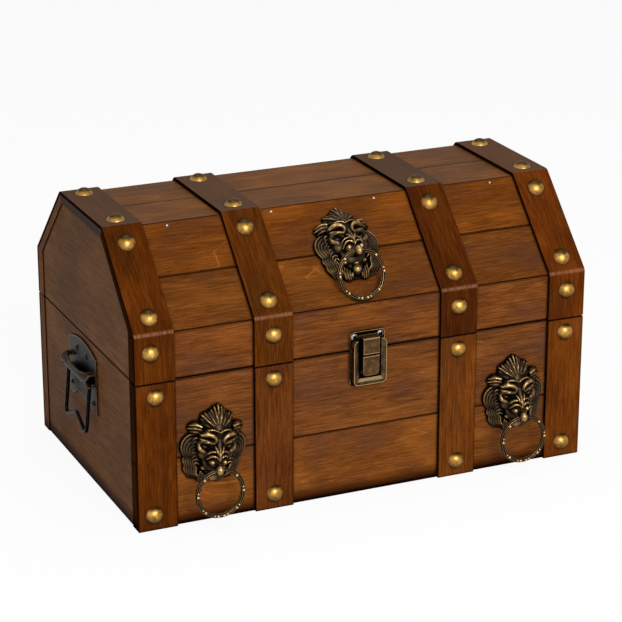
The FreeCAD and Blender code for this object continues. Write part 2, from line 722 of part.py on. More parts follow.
LINK_DEEP = "(latch_depth + link_proud - link_back)"
LINK_TOP = f"({KEEPER_LOW} - link_gap)"
link_sheet = padded("link_sheet", "XZ_Plane", upright(TAB_HALF, LINK_LOW, LINK_TOP), LINK_DEEP)
link_feet = [(way * number(TAB_HALF), -number(LINK_DEEP) / 2, number(LINK_LOW)) for way in (-1, 1)]
round_edges(link_sheet, "link_corners", "link_corner", link_feet)
link_front = [(0, -number(LINK_DEEP), number(z)) for z in (LINK_LOW, LINK_TOP)]
round_edges(link_sheet, "link_edge", "tab_edge", link_front)
link_pin = place(rod("link_pin_rod", "link_pin", "2 * link_pin_end", "X"), "-link_pin_end",
                 "link_back - pivot_out", LINK_PIN_Z)
link = fuse("latch_link", [link_sheet, link_pin])
node(place(link, along=f"-{FACE} - link_back"), "latch_link")

# Lion-head pulls: a cast mask with a ball at its mouth, and a ring whose ends turn in the ball
LION_MM = "(lion_length / 60)"
LION_EDGE = [
    (7, 36),
    (9.5, 37),
    (14.5, 29.5),
    (20, 31),
    (22.5, 28),
    (20.5, 21.5),
    (24.5, 14.5),
    (24, 6.5),
    (20.5, -1.5),
    (19, -10),
    (12, -8.5),
    (9, -16.5),
    (4, -13.5),
]
LION_FORMS = {
    "skull": ((0, 15.5, 1), (17.5, 20, 12.5)),
    "brow_left": ((-7.5, 23, 10.3), (7, 3.6, 4.2)),
    "brow_right": ((7.5, 23, 10.3), (7, 3.6, 4.2)),
    "nose": ((0, 11.5, 9), (4.2, 9, 8.5)),
    "muzzle": ((0, 5, 7), (9, 7.5, 9.5)),
    "pad_left": ((-4.7, 4.7, 14.2), (3, 2.6, 3.2)),
    "pad_right": ((4.7, 4.7, 14.2), (3, 2.6, 3.2)),
    "chin": ((0, -8, 5), (5, 4.6, 7)),
    "ear_left": ((-17.5, 25.5, 4.5), (4.4, 4, 4)),
    "ear_right": ((17.5, 25.5, 4.5), (4.4, 4, 4)),
}
right_edge = [(f"{u} * {LION_MM}", f"{v} * {LION_MM}") for u, v in LION_EDGE]
crown = [("0", f"42.9 * {LION_MM}")]
beard = [("0", f"-12.5 * {LION_MM}")]
mane_edge = crown + right_edge + beard + mirrored(right_edge)[::-1]
lion_pieces = [padded("lion_mane", "XY_Plane", mane_edge, "lion_plate")]
for name, (middle, radii) in LION_FORMS.items():
    form = ellipsoid(f"lion_{name}", *[f"{radius} * {LION_MM}" for radius in radii])
    lion_pieces.append(place(form, *[f"{value} * {LION_MM}" for value in middle]))
ball = doc.addObject("Part::Sphere", "lion_ball")
bind(ball, {"Radius": "ball_radius"})
lion_pieces.append(place(ball, up="ball_out"))
lion_pieces.append(rod("lion_tongue", "tongue_radius", "ball_out"))
behind = box("lion_behind", "2 * lion_length", "2 * lion_length", "lion_length")
place(behind, "-lion_length", "-lion_length", "-lion_length")
lion = cut("lion", fuse("lion_blank", lion_pieces), [behind])
doc.recompute()

LION_LEFT = f"({BAY} + lion_left_outset)"
LION_RIGHT = f"({BAY} + lion_right_outset)"
RING_DROP = "(2 * ring_radius)"
RING_TURN = "(ring_end / ring_radius * 180 / pi)"
hoop = doc.addObject("Part::Torus", "ring_hoop")
bind(hoop, {"Radius1": "ring_radius", "Radius2": "ring_tube", "Angle3": f"360 - 2 * {RING_TURN}"})
place(hoop, along="-ring_radius")
turn(hoop, (0, 0, 1), 90 + number(RING_TURN))
hoop_pieces = [hoop]
for hand, start in (("left", "-ring_end - ring_tube"), ("right", "ring_pin_inner")):
    stub = rod(f"ring_pin_{hand}", "ring_pin", "ring_end + ring_tube - ring_pin_inner", "X")
    hoop_pieces.append(place(stub, start))
ring = fuse("ring", hoop_pieces)
lion_screw = domed("lion_screw", "lion_screw_head", "lion_screw_dome", "lion_screw_shank",
                   "wall + lion_screw_bite")
lid_lion_screw = domed("lid_lion_bolt", "lion_screw_head", "lion_screw_dome", "lion_screw_shank",
                       "roof_board + lion_screw_bite")
doc.recompute()

# A mask stands on its wall with its back turned to it: u to the right, v up, h out of the wall
STAND = FreeCAD.Rotation(FreeCAD.Vector(1, 0, 0), 90)
LEAN = FreeCAD.Rotation(FreeCAD.Vector(1, 0, 0), number("90 - roof_angle") * -1)
REST_TURN = math.degrees(math.asin(number("(ball_out - ring_tube - ring_rest_gap) / " + RING_DROP)))
lid_y, lid_z = (number(text) for text in on_slope("lid_lion_rise"))
PULLS = {
    "left": (FreeCAD.Vector(-number(LION_LEFT), -number(FACE), number("lion_height")), STAND, 0),
    "right": (FreeCAD.Vector(number(LION_RIGHT), -number(FACE), number("lion_height")), STAND, 0),
    "lid": (FreeCAD.Vector(number("lid_lion_side"), lid_y, lid_z), LEAN.multiply(STAND), REST_TURN),
}
lion_screw_seats = {}
for hand, (foot, stand, ring_turn) in PULLS.items():
    lean = FreeCAD.Rotation(FreeCAD.Vector(0, 0, 1), number(f"lion_{hand}_tilt"))
    mask = doc.addObject("Part::Feature", f"lion_mask_{hand}")
    mask.Shape = lion.Shape.copy()
    mask.Placement = FreeCAD.Placement(foot, stand.multiply(lean))
    outward = stand.multVec(FreeCAD.Vector(0, 0, 1))
    eye = foot + outward * number("ball_out")
    bore = rod(f"lion_bore_{hand}", "ring_pin + pin_clearance", "4 * ball_radius", "X")
    bore.Placement.Base = eye - FreeCAD.Vector(number("2 * ball_radius"), 0, 0)
    node(cut(f"lion_head_{hand}", mask, [bore]), f"lion_head_{hand}")
    loop = doc.addObject("Part::Feature", f"lion_ring_{hand}")
    loop.Shape = ring.Shape.copy()
    swing = FreeCAD.Rotation(FreeCAD.Vector(1, 0, 0), ring_turn)
    loop.Placement = FreeCAD.Placement(eye, stand.multiply(swing))
    node(loop, f"lion_ring_{hand}")
    board = number("roof_board" if hand == "lid" else "wall")
    rise = stand.multiply(lean).multVec(FreeCAD.Vector(0, number("lion_screw_rise"), 0))
    inward = outward * -1
    lion_screw_seats[hand] = (tuple(foot + rise + inward * board), tuple(inward))
base_lion_seats = [lion_screw_seats["left"], lion_screw_seats["right"]]
node(copies("lion_base_screws", lion_screw, base_lion_seats), "lion_base_screws")
node(copies("lion_lid_screw", lid_lion_screw, [lion_screw_seats["lid"]]), "lion_lid_screw")

# Drop handles: a sheet plate with a barrel rolled out of it, and a bent wire bail that hangs in the barrel
HANDLE_TOP = "(base_height - handle_below_rim)"
HANDLE_WAIST = f"({HANDLE_TOP} - handle_waist_drop)"
HANDLE_FOOT = f"({HANDLE_TOP} - handle_foot_drop)"
BARREL_Z = f"({HANDLE_TOP} - barrel_drop)"
BARREL_HALF = "barrel_length / 2"
BAIL_SIDE = "(bail_width / 2 - bail_wire / 2)"
SLOT_HALF = "(bail_wire / 2 + bail_slot)"
BAIL_ROOM = "(barrel_radius - barrel_wall - bail_wire / 2 - bail_gap)"
BAIL_Z = f"({BARREL_Z} - sqrt({BAIL_ROOM} ^ 2 - (bail_out - barrel_out) ^ 2))"
PLATE_HALF = "handle_width / 2"
LEG_INNER = f"({PLATE_HALF} - handle_leg)"
WAIST_HALF = f"({LEG_INNER} - handle_leg_slope)"
HANDLE_EDGE = [
    (f"-{PLATE_HALF}", HANDLE_FOOT),
    (f"-{LEG_INNER}", HANDLE_FOOT),
    (f"-{WAIST_HALF}", HANDLE_WAIST),
    (WAIST_HALF, HANDLE_WAIST),
    (LEG_INNER, HANDLE_FOOT),
    (PLATE_HALF, HANDLE_FOOT),
    (PLATE_HALF, HANDLE_TOP),
    (f"-{PLATE_HALF}", HANDLE_TOP),
]
ARCH_RADIUS = f"((({PLATE_HALF}) ^ 2 + handle_arch ^ 2) / (2 * handle_arch))"
SCOOP_RISE = "(barrel_radius - scoop_above)"
SCOOP_RADIUS = f"((scoop_chord ^ 2 / 4 + {SCOOP_RISE} ^ 2) / (2 * {SCOOP_RISE}))"


def barrel(name, radius):
    """A barrel along Y with a flat back against the wall."""
    round_part = place(rod(name + "_round", radius, "barrel_length", "Y"), "barrel_out", f"-{BARREL_HALF}",
                       BARREL_Z)
    back_part = place(box(name + "_back", "barrel_out", "barrel_length", f"2 * ({radius})"), "0",
                      f"-{BARREL_HALF}", f"{BARREL_Z} - ({radius})")
    return fuse(name, [round_part, back_part])


def bent_wire(points, bends, radius):
    """A closed wire of straight runs and tangent arcs, thickened to a round section."""
    edges = []
    ends = []
    count = len(points)
    for index, point in enumerate(points):
        before = (points[index - 1] - point).normalize()
        after = (points[(index + 1) % count] - point).normalize()
        half = before.getAngle(after) / 2
        reach = bends[index] / math.tan(half)
        middle = (before + after).normalize()
        crown_point = point + middle * (bends[index] / math.sin(half) - bends[index])
        ends.append((point + before * reach, crown_point, point + after * reach))
    start = (ends[0][2] + ends[1][0]) * 0.5
    edges.append(Part.LineSegment(start, ends[1][0]).toShape())
    for index in list(range(1, count)) + [0]:
        edges.append(Part.Arc(*ends[index]).toShape())
        goal = start if index == 0 else ends[(index + 1) % count][0]
        edges.append(Part.LineSegment(ends[index][2], goal).toShape())
    path = Part.Wire(edges)
    section = Part.Wire(Part.makeCircle(radius, start, ends[1][0] - start))
    return path.makePipeShell([section], True, False)


handle_screw_seats = []
for hand, facing in (("left", -1), ("right", 1)):
    quarter = FreeCAD.Rotation(FreeCAD.Vector(0, 0, 1), 0 if facing > 0 else 180)
    wall_foot = FreeCAD.Vector(facing * number(END_FACE), number("handle_shift"), 0)
    name = f"handle_{hand}"
    sheet_metal = padded(f"{name}_sheet", "YZ_Plane", HANDLE_EDGE, "handle_plate")
    arch = place(rod(f"{name}_arch", ARCH_RADIUS, "handle_plate", "X"), up=f"{HANDLE_TOP} - {ARCH_RADIUS}")
    flat_plate = common(f"{name}_flat", sheet_metal, arch)
    scoop = rod(f"{name}_scoop", SCOOP_RADIUS, "barrel_out + 2 * barrel_radius", "X")
    place(scoop, "handle_plate", "0", f"{BARREL_Z} + scoop_above + {SCOOP_RADIUS}")
    board_side = box(f"{name}_board_side", "barrel_radius", "2 * barrel_length", "2 * barrel_length")
    place(board_side, "-barrel_radius", "-barrel_length", f"{BARREL_Z} - barrel_length")
    hollows = [barrel(f"{name}_hollow", "barrel_radius - barrel_wall"), scoop, board_side]
    for count, side in enumerate((f"-{BAIL_SIDE}", BAIL_SIDE)):
        slot = box(f"{name}_slot_{count}", "2 * barrel_radius", f"2 * {SLOT_HALF}", "2 * barrel_radius")
        slot_floor = f"{BAIL_Z} + {SLOT_HALF} - 2 * barrel_radius"
        place(slot, f"bail_out - {SLOT_HALF}", f"{side} - {SLOT_HALF}", slot_floor)
        hollows.append(slot)
    shell = cut(f"{name}_shell", barrel(f"{name}_barrel", "barrel_radius"), hollows)
    holes = []
    for side in (-1, 1):
        for spread, height in (("handle_screw_side", f"{HANDLE_TOP} - handle_screw_drop"),
                               ("handle_foot_screw_side", f"{HANDLE_TOP} - handle_foot_screw_drop")):
            hole = rod(f"{name}_hole_{len(holes)}", SCREW_HOLE, "3 * handle_plate", "X")
            holes.append(place(hole, "-handle_plate", f"{side} * {spread}", height))
            spot = FreeCAD.Vector(number("handle_plate"), side * number(spread), number(height))
            handle_screw_seats.append((tuple(wall_foot + quarter.multVec(spot)), (facing, 0, 0)))
    finished = cut(f"{name}_plate", fuse(f"{name}_blank", [flat_plate, shell]), holes)
    finished.Placement = FreeCAD.Placement(wall_foot, quarter)
    node(finished, f"{name}_plate")
    side = number(BAIL_SIDE)
    bar_z = number(BAIL_Z)
    low = number("bail_drop")
    peak = low - number("bail_peak")
    hang = FreeCAD.Rotation(FreeCAD.Vector(0, 1, 0), -number("bail_tilt"))
    bar_middle = FreeCAD.Vector(number("bail_out"), 0, bar_z)
    route = [(-side, 0), (side, 0), (side, low), (0, peak), (-side, low)]
    corners = [bar_middle + hang.multVec(FreeCAD.Vector(0, y, -drop)) for y, drop in route]
    bends = [number(size) for size in ("bail_top_bend", "bail_top_bend", "bail_low_bend", "bail_peak_bend",
                                       "bail_low_bend")]
    bail = doc.addObject("Part::Feature", f"{name}_bail")
    bail.Shape = bent_wire(corners, bends, number("bail_wire / 2"))
    bail.Placement = FreeCAD.Placement(wall_foot, quarter)
    node(bail, f"{name}_bail")
node(copies("handle_screws", screw, handle_screw_seats), "handle_screws")

# Every piece is checked before any is written
doc.recompute()
for thing in doc.Objects:
    if "Invalid" in thing.State or "Error" in thing.State:
        raise RuntimeError(f"{thing.Label} failed: {thing.State}")
for thing in NODES:
    if thing.Shape.isNull() or not thing.Shape.isValid() or not thing.Shape.Solids:
        raise RuntimeError(f"{thing.Label} has no valid solid")
os.makedirs("parts", exist_ok=True)
for thing in NODES:
    thing.Shape.exportStep(f"parts/{thing.Label}.step")
print(len(NODES), "nodes written")
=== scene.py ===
import json
import math

import bpy
import numpy as np
from mathutils import Matrix, Vector


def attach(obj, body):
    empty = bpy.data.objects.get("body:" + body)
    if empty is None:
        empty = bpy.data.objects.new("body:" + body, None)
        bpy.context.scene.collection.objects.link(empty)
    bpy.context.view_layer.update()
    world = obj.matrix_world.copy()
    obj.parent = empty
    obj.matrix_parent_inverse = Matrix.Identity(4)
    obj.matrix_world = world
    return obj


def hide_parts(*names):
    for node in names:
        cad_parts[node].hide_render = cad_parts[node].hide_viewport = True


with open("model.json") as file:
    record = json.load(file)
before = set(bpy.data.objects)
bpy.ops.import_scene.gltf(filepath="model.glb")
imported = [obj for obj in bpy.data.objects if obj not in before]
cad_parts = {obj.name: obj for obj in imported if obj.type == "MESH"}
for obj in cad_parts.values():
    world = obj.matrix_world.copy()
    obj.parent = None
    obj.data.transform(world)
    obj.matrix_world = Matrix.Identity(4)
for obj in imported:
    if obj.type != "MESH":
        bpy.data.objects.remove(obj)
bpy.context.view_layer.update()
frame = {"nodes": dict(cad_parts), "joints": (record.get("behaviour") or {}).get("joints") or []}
nodes = frame["nodes"]


# Boards of the box and the lid
# Planed poplar planks, butted and nailed, stained a warm brown and satin varnished. The grain runs along
# the chest; the stain has gathered black in the joints and along the sawn edges. The boards are drawn
# darker towards the ground, and painted shade blackens the wood where it meets other parts.
def linear(code):
    """Linear RGBA of an sRGB hex colour."""
    parts = [int(code[i:i + 2], 16) / 255 for i in (1, 3, 5)]
    return [p / 12.92 if p <= 0.04045 else ((p + 0.055) / 1.055) ** 2.4 for p in parts] + [1.0]


def add(tree, kind, inputs=(), stops=(), **settings):
    """Add one node: inputs are constants or sockets to link, stops are the places and hex colours of a
    colour ramp, and settings are the node's own properties."""
    made = tree.nodes.new("ShaderNode" + kind)
    for name, value in settings.items():
        setattr(made, name, value)
    for key, value in dict(inputs).items():
        if isinstance(value, bpy.types.NodeSocket):
            tree.links.new(value, made.inputs[key])
        else:
            made.inputs[key].default_value = value
    for count, (spot, code) in enumerate(stops):
        band = made.color_ramp.elements
        stop = band[count] if count < len(band) else band.new(spot)
        stop.position, stop.color = spot, linear(code)
    return made


def start_material(name):
    """A new material with its tree, cleared down to the shader and its output."""
    material = bpy.data.materials.new(name)
    material.use_nodes = True
    tree = material.node_tree
    tree.nodes.clear()
    shader = add(tree, "BsdfPrincipled")
    add(tree, "OutputMaterial", {"Surface": shader.outputs[0]})
    return material, tree, shader


def edge_mask(tree, radius, sharp=0.86):
    """1 along sharp edges, 0 on flat faces: how far a rounded normal leaves the face's own normal."""
    rounded = add(tree, "Bevel", {"Radius": radius}, samples=6)
    own = add(tree, "NewGeometry").outputs["Normal"]
    facing = add(tree, "VectorMath", {0: rounded.outputs[0], 1: own}, operation="DOT_PRODUCT")
    return add(tree, "MapRange", {0: facing.outputs["Value"], 1: 0.995, 2: sharp}).outputs[0]


def coat(tree, colour, code, value, bare, full, share=1.0, broken=None):
    """Lay a hex colour over a finish: none of it where the value is `bare`, up to `share` of it where the
    value is `full`, broken up by a second value where one is given."""
    cover = add(tree, "MapRange", {0: value, 1: bare, 2: full, 3: 0.0, 4: share}).outputs[0]
    if broken is not None:
        cover = add(tree, "Math", {0: cover, 1: broken}, operation="MULTIPLY").outputs[0]
    return add(tree, "Mix", {0: cover, 6: colour, 7: linear(code)}, data_type="RGBA").outputs[2]


# The same black is laid on as painted shade where the wood meets other parts and on side faces
BLACK_STAIN_AND_SHADE = "#0c0502"  # stain gathered in joints, along edges and in end grain


def stained_wood(name, run, seed, stain, foot=False, sawn_and_shaded_sides=0.0, figure=1.0, bend=None, plain_ends=False,
                 sheen=0.02, tone=(1.0, 1.0, 1.0), painted_sheen=False):
    """Poplar under a brown stain and satin varnish, which gives the eye soft blotches, fine long fibres and
    short dark pores. `run` names the axes along the grain. `stain` holds the dark, middle and light colour of
    the wood, then those of greyed patches, growth lines and patches where the stain is thin."""
    material, tree, shader = start_material(name)
    dark, middle, light, greyed, line, thin = stain
    place = add(tree, "TexCoord")
    height = add(tree, "SeparateXYZ", {0: place.outputs["Object"]}).outputs[2]
    across, _, upward = add(tree, "SeparateXYZ", {0: place.outputs["Normal"]}).outputs
    sideways = add(tree, "Math", {0: across}, operation="ABSOLUTE").outputs[0]
    shift = [float(v) for v in np.random.default_rng(seed).uniform(-3, 3, 3)]

    def grain(run_mm, cross_mm, **inputs):
        scale = [1000 / (run_mm if axis in run else cross_mm) for axis in "XYZ"]
        moved = add(tree, "Mapping", {"Vector": place.outputs["Object"], "Location": shift, "Scale": scale})
        return add(tree, "TexNoise", {"Vector": moved.outputs[0], "Scale": 1.0, **inputs}).outputs["Fac"]

    # Poplar's own fibres and pores are under 0.1 mm wide; both are drawn as coarse as they need to show
    blotches = grain(60, 34, Detail=2.0, Roughness=0.5)
    bands = grain(160, 5.0, Detail=2.0, Roughness=0.5, Distortion=0.5)
    fibres = grain(16, 0.8, Detail=2.0, Roughness=0.6)
    pores = grain(4.0, 0.6, Detail=1.0, Roughness=0.5)
    waves = grain(130, 24, Detail=1.0, Roughness=0.4, Distortion=1.2)
    mix = add(tree, "Math", {0: blotches, 1: 0.30}, operation="MULTIPLY").outputs[0]
    for pattern, share in ((bands, 0.20), (fibres, 0.60)):
        mix = add(tree, "Math", {0: pattern, 1: share, 2: mix}, operation="MULTIPLY_ADD").outputs[0]
    level = add(tree, "MapRange", {0: mix, 1: 0.35, 2: 0.73}).outputs[0]
    colour = add(tree, "ValToRGB", {"Fac": level}, ((0.0, dark), (0.5, middle), (1.0, light))).outputs[0]
    # Dull patches where the stain has greyed, glowing ones where it is thin, and pale growth lines about
    # 8 mm apart
    colour = coat(tree, colour, greyed, blotches, 0.51, 0.30, 0.35)
    colour = coat(tree, colour, thin, blotches, 0.53, 0.74, 0.35)
    turns = add(tree, "Math", {0: waves, 1: 11.0}, operation="MULTIPLY").outputs[0]
    saw = add(tree, "Math", {0: turns, 1: 1.0}, operation="PINGPONG").outputs[0]
    patches = add(tree, "MapRange", {0: blotches, 1: 0.50, 2: 0.64}).outputs[0]
    colour = coat(tree, colour, line, saw, 0.93, 1.0, 0.55 * figure, patches)
    dark_pores = add(tree, "MapRange", {0: pores, 1: 0.26, 2: 0.42, 3: 0.70, 4: 1.0}).outputs[0]
    for factor in (dark_pores, [*tone, 1.0]):
        colour = add(tree, "Mix", {0: 1.0, 6: colour, 7: factor}, data_type="RGBA",
                     blend_type="MULTIPLY").outputs[2]
    ragged = add(tree, "MapRange", {0: fibres, 1: 0.3, 2: 0.6, 3: 0.75, 4: 1.0}).outputs[0]
    if painted_sheen:
        # Painted sheen: a grey veil on the faces that look up, standing in for the varnish's reflection of
        # the room
        colour = coat(tree, colour, "#5e4f42", upward, 0.90, 0.99, 0.58)
    if foot:
        # Ruddy from 11.5 mm above the ground down, and black in the last few millimetres
        colour = coat(tree, colour, "#331405", height, 0.0115, 0.0050, 0.85)
        colour = coat(tree, colour, BLACK_STAIN_AND_SHADE, height, 0.0044, 0.0016, 0.97)
    if bend:
        # Painted highlight and rubbed varnish: pale in short strokes where the band turns over the eave, at
        # the height `bend`
        strokes = add(tree, "Mapping", {"Vector": place.outputs["Object"], "Scale": (1400, 60, 60)})
        strokes = add(tree, "TexNoise", {"Vector": strokes.outputs[0], "Scale": 1.0, "Detail": 2.0})
        strokes = add(tree, "MapRange", {0: strokes.outputs["Fac"], 1: 0.35, 2: 0.65, 3: 0.2, 4: 0.65})
        strokes = strokes.outputs[0]
        above = add(tree, "Math", {0: height, 1: bend}, operation="SUBTRACT").outputs[0]
        away = add(tree, "Math", {0: above}, operation="ABSOLUTE").outputs[0]
        colour = coat(tree, colour, "#90634a", away, 0.0017, 0.0004, 1.0, strokes)
    # Side faces black: stain soaked into the sawn sides, and painted shade on the sides turned from the light
    if sawn_and_shaded_sides:
        colour = coat(tree, colour, BLACK_STAIN_AND_SHADE, sideways, 0.55, 0.85, sawn_and_shaded_sides, ragged)
    if not bend:
        shown = ragged
        if plain_ends:
            lengthwise = add(tree, "MapRange", {0: sideways, 1: 0.6, 2: 0.9, 3: 1.0, 4: 0.0}).outputs[0]
            shown = add(tree, "Math", {0: ragged, 1: lengthwise}, operation="MULTIPLY").outputs[0]
        colour = coat(tree, colour, BLACK_STAIN_AND_SHADE, edge_mask(tree, 0.0013, 0.95), 0.0, 1.0, 1.0, shown)
    # Painted shade: black where other surfaces lie within 2.5 mm. It draws the stain gathered in the plank
    # joints, and also shadows round the straps, nails, lion masks and latch
    closed = add(tree, "AmbientOcclusion", {"Distance": 0.0025}, samples=8).outputs["AO"]
    colour = coat(tree, colour, BLACK_STAIN_AND_SHADE, closed, 0.92, 0.58, 0.97, ragged)
    relief = add(tree, "Math", {0: pores, 1: 0.6, 2: fibres}, operation="MULTIPLY_ADD").outputs[0]
    bump = add(tree, "Bump", {"Strength": 0.14, "Distance": 0.0002, "Height": relief})
    tree.links.new(colour, shader.inputs["Base Color"])
    tree.links.new(bump.outputs[0], shader.inputs["Normal"])
    shader.inputs["Roughness"].default_value = 0.45
    shader.inputs["Specular IOR Level"].default_value = sheen
    return material


def dress(name, material, ease=0.0, segments=2):
    """Give a CAD node its finish and, where it has sharp edges, a small bevel that wide."""
    piece = nodes[name]
    piece.data.materials.clear()
    piece.data.materials.append(material)
    if ease:
        bevel = piece.modifiers.new("eased_edges", "BEVEL")
        bevel.width = ease
        bevel.segments = segments
        bevel.limit_method = "ANGLE"
        bevel.angle_limit = math.radians(28)


PLANK_STAIN = ("#432408", "#673910", "#86501a", "#593c23", "#ad6b1e", "#925112")
END_STAIN = ("#432817", "#623f23", "#7d5430", "#573b27", "#8c6238", "#744a28")
# How much lighter or darker each board is drawn, in red, green and blue
BOARD_TONE = {"base_front_upper_plank": (0.88, 0.92, 1.85), "base_front_lower_plank": (1.02, 1.04, 1.7),
              "lid_front_wall": (0.91, 0.90, 1.65), "lid_front_slope_lower": (0.77, 0.76, 1.15),
              "lid_front_slope_upper": (0.84, 0.77, 0.95), "lid_front_top": (0.83, 0.90, 1.0),
              "lid_back_top": (0.83, 0.90, 1.0)}
FASTENERS = ("strap", "nails", "brads")
boards = sorted(name for name in nodes
                if name.startswith(("base_", "lid_")) and not any(word in name for word in FASTENERS))
for seed, name in enumerate(boards):
    end_board = name.endswith("_end")
    roof_top = "top" in name
    back = "back" in name and not roof_top
    if roof_top:
        sheen = 0.04
    else:
        sheen = 0.02 if back or end_board else 0.0
    wood = stained_wood(f"stained_poplar_{name}", "Y" if end_board else "X", seed,
                        END_STAIN if end_board else PLANK_STAIN, foot=name.startswith("base_"),
                        sawn_and_shaded_sides=0.0 if back or end_board else 0.85, plain_ends=back, sheen=sheen,
                        tone=BOARD_TONE.get(name, (1.0, 1.0, 1.0)))
    dress(name, wood, ease=0.0004)


# Straps
# Thin bands of the same poplar, stained redder and darker, with the grain along the band. Those of the lid
# are bent over the edges of the roof, and all are held by domed nails. Their sawn sides are drawn black,
# partly stain soaked into them and partly painted shade.
STRAP_STAIN = ("#361703", "#562a06", "#743e0d", "#49280d", "#844a16", "#743c0a")
STRAP_SEED = 200  # keeps the bands' grain apart from the boards'
EAVE_Z = 0.1478
# How much lighter or darker each band came out, as with the boards
STRAP_TONE = {"base_front_strap_1": (0.88, 0.84, 1.2), "base_front_strap_2": (0.86, 0.92, 2.4),
              "base_front_strap_3": (1.22, 1.32, 2.4), "lid_strap_1": (0.70, 0.66, 0.95),
              "lid_strap_2": (0.81, 0.84, 1.3), "lid_strap_3": (0.58, 0.54, 1.0),
              "lid_strap_4": (0.99, 0.89, 1.35)}
for seed, name in enumerate(sorted(name for name in nodes if "strap" in name)):
    over_eave = EAVE_Z if name.startswith("lid_") else None
    band = stained_wood(f"dark_poplar_{name}", "YZ", seed + STRAP_SEED, STRAP_STAIN, sawn_and_shaded_sides=0.93,
                        figure=0.6, bend=over_eave, painted_sheen=True, sheen=0.0,
                        tone=STRAP_TONE.get(name, (1.0, 1.0, 1.6)))
    dress(name, band, ease=0.0007)


# Domed nails
# Stamped brass heads on plain shanks, driven through the straps into the boards. The brass has aged to a
# brown gold with small dents and dark specks.
def worn_metal(name, recess, body, worn, roughness, wear_mm=0.8, grime_mm=2.5, mottle_mm=3.0, sharp=0.86):
    """Aged metal: grime in the recesses, a mottled body in three shades and rubbed edges, which give the eye
    its age. Returns the material with its tree, shader and colour, so that more can be laid over it."""
    material, tree, shader = start_material(name)
    place = add(tree, "TexCoord").outputs["Object"]
    cloud = add(tree, "TexNoise", {"Vector": place, "Scale": 1000 / mottle_mm, "Detail": 4.0,
                                   "Roughness": 0.65}).outputs["Fac"]
    dents_mm = 0.5
    dents = add(tree, "TexNoise", {"Vector": place, "Scale": 1000 / dents_mm, "Detail": 2.0}).outputs["Fac"]
    closed = add(tree, "AmbientOcclusion", {"Distance": grime_mm / 1000}, samples=8).outputs["AO"]
    shade = add(tree, "MapRange", {0: cloud, 1: 0.3, 2: 0.7}).outputs[0]
    colour = add(tree, "ValToRGB", {"Fac": shade}, zip((0.0, 0.5, 1.0), body)).outputs[0]
    colour = coat(tree, colour, recess, closed, 0.92, 0.45, 0.95)
    patchy = add(tree, "MapRange", {0: cloud, 1: 0.3, 2: 0.55, 3: 0.35, 4: 1.0}).outputs[0]
    out_in_the_open = add(tree, "MapRange", {0: closed, 1: 0.25, 2: 0.6}).outputs[0]
    rubbed = edge_mask(tree, wear_mm / 1000, sharp)
    for share in (patchy, out_in_the_open):
        rubbed = add(tree, "Math", {0: rubbed, 1: share}, operation="MULTIPLY").outputs[0]
    colour = coat(tree, colour, worn, rubbed, 0.0, 1.0)
    polish = add(tree, "MapRange", {0: rubbed, 3: roughness, 4: roughness * 0.75}).outputs[0]
    bump = add(tree, "Bump", {"Strength": 0.12, "Distance": 0.0001, "Height": dents})
    tree.links.new(colour, shader.inputs["Base Color"])
    tree.links.new(polish, shader.inputs["Roughness"])
    tree.links.new(bump.outputs[0], shader.inputs["Normal"])
    shader.inputs["Metallic"].default_value = 1.0
    return material, tree, shader, colour


nail_brass, tree, shader, colour = worn_metal(
    "aged_nail_brass", recess="#1d1206", body=("#825f26", "#b48742", "#cfa35c"), worn="#dfb97a",
    roughness=0.44, grime_mm=2.4, mottle_mm=3.0)
upward = add(tree, "SeparateXYZ", {0: add(tree, "TexCoord").outputs["Normal"]}).outputs[2]
# Painted shade: the undersides of the domes are drawn dark brown
colour = coat(tree, colour, "#3d260b", upward, 0.15, -0.65, 0.85)
# Painted shade: crowns that look straight up are drawn dark, in place of a dim ceiling in their reflection
colour = coat(tree, colour, "#33270b", upward, 0.56, 0.80, 0.95)
tree.links.new(colour, shader.inputs["Base Color"])
for name in ("base_nails", "lid_nails"):
    dress(name, nail_brass)


# Brads along the crest
# Small zinc-plated wire pins whose heads sit just below the crest of the roof, where they show as bright
# pale dots.
zinc = worn_metal("bright_zinc", recess="#2b2a28", body=("#b4b0a8", "#cfccc4", "#e0ded8"), worn="#f2f1ee",
                  roughness=0.30)[0]
dress("lid_brads", zinc)


# Hinges
# Folded sheet-brass butt hinges, screwed to the back of the box and of the lid and joined by brass pins.
# Age has dulled them to a brown yellow, bright only along the edges.
hinge_brass = worn_metal("dull_hinge_brass", recess="#1c1308", body=("#5e4720", "#7d6230", "#94763d"),
                         worn="#c9a45f", roughness=0.42)[0]
for name in sorted(nodes):
    if name.startswith("hinge_"):
        dress(name, hinge_brass, ease=0.00025)


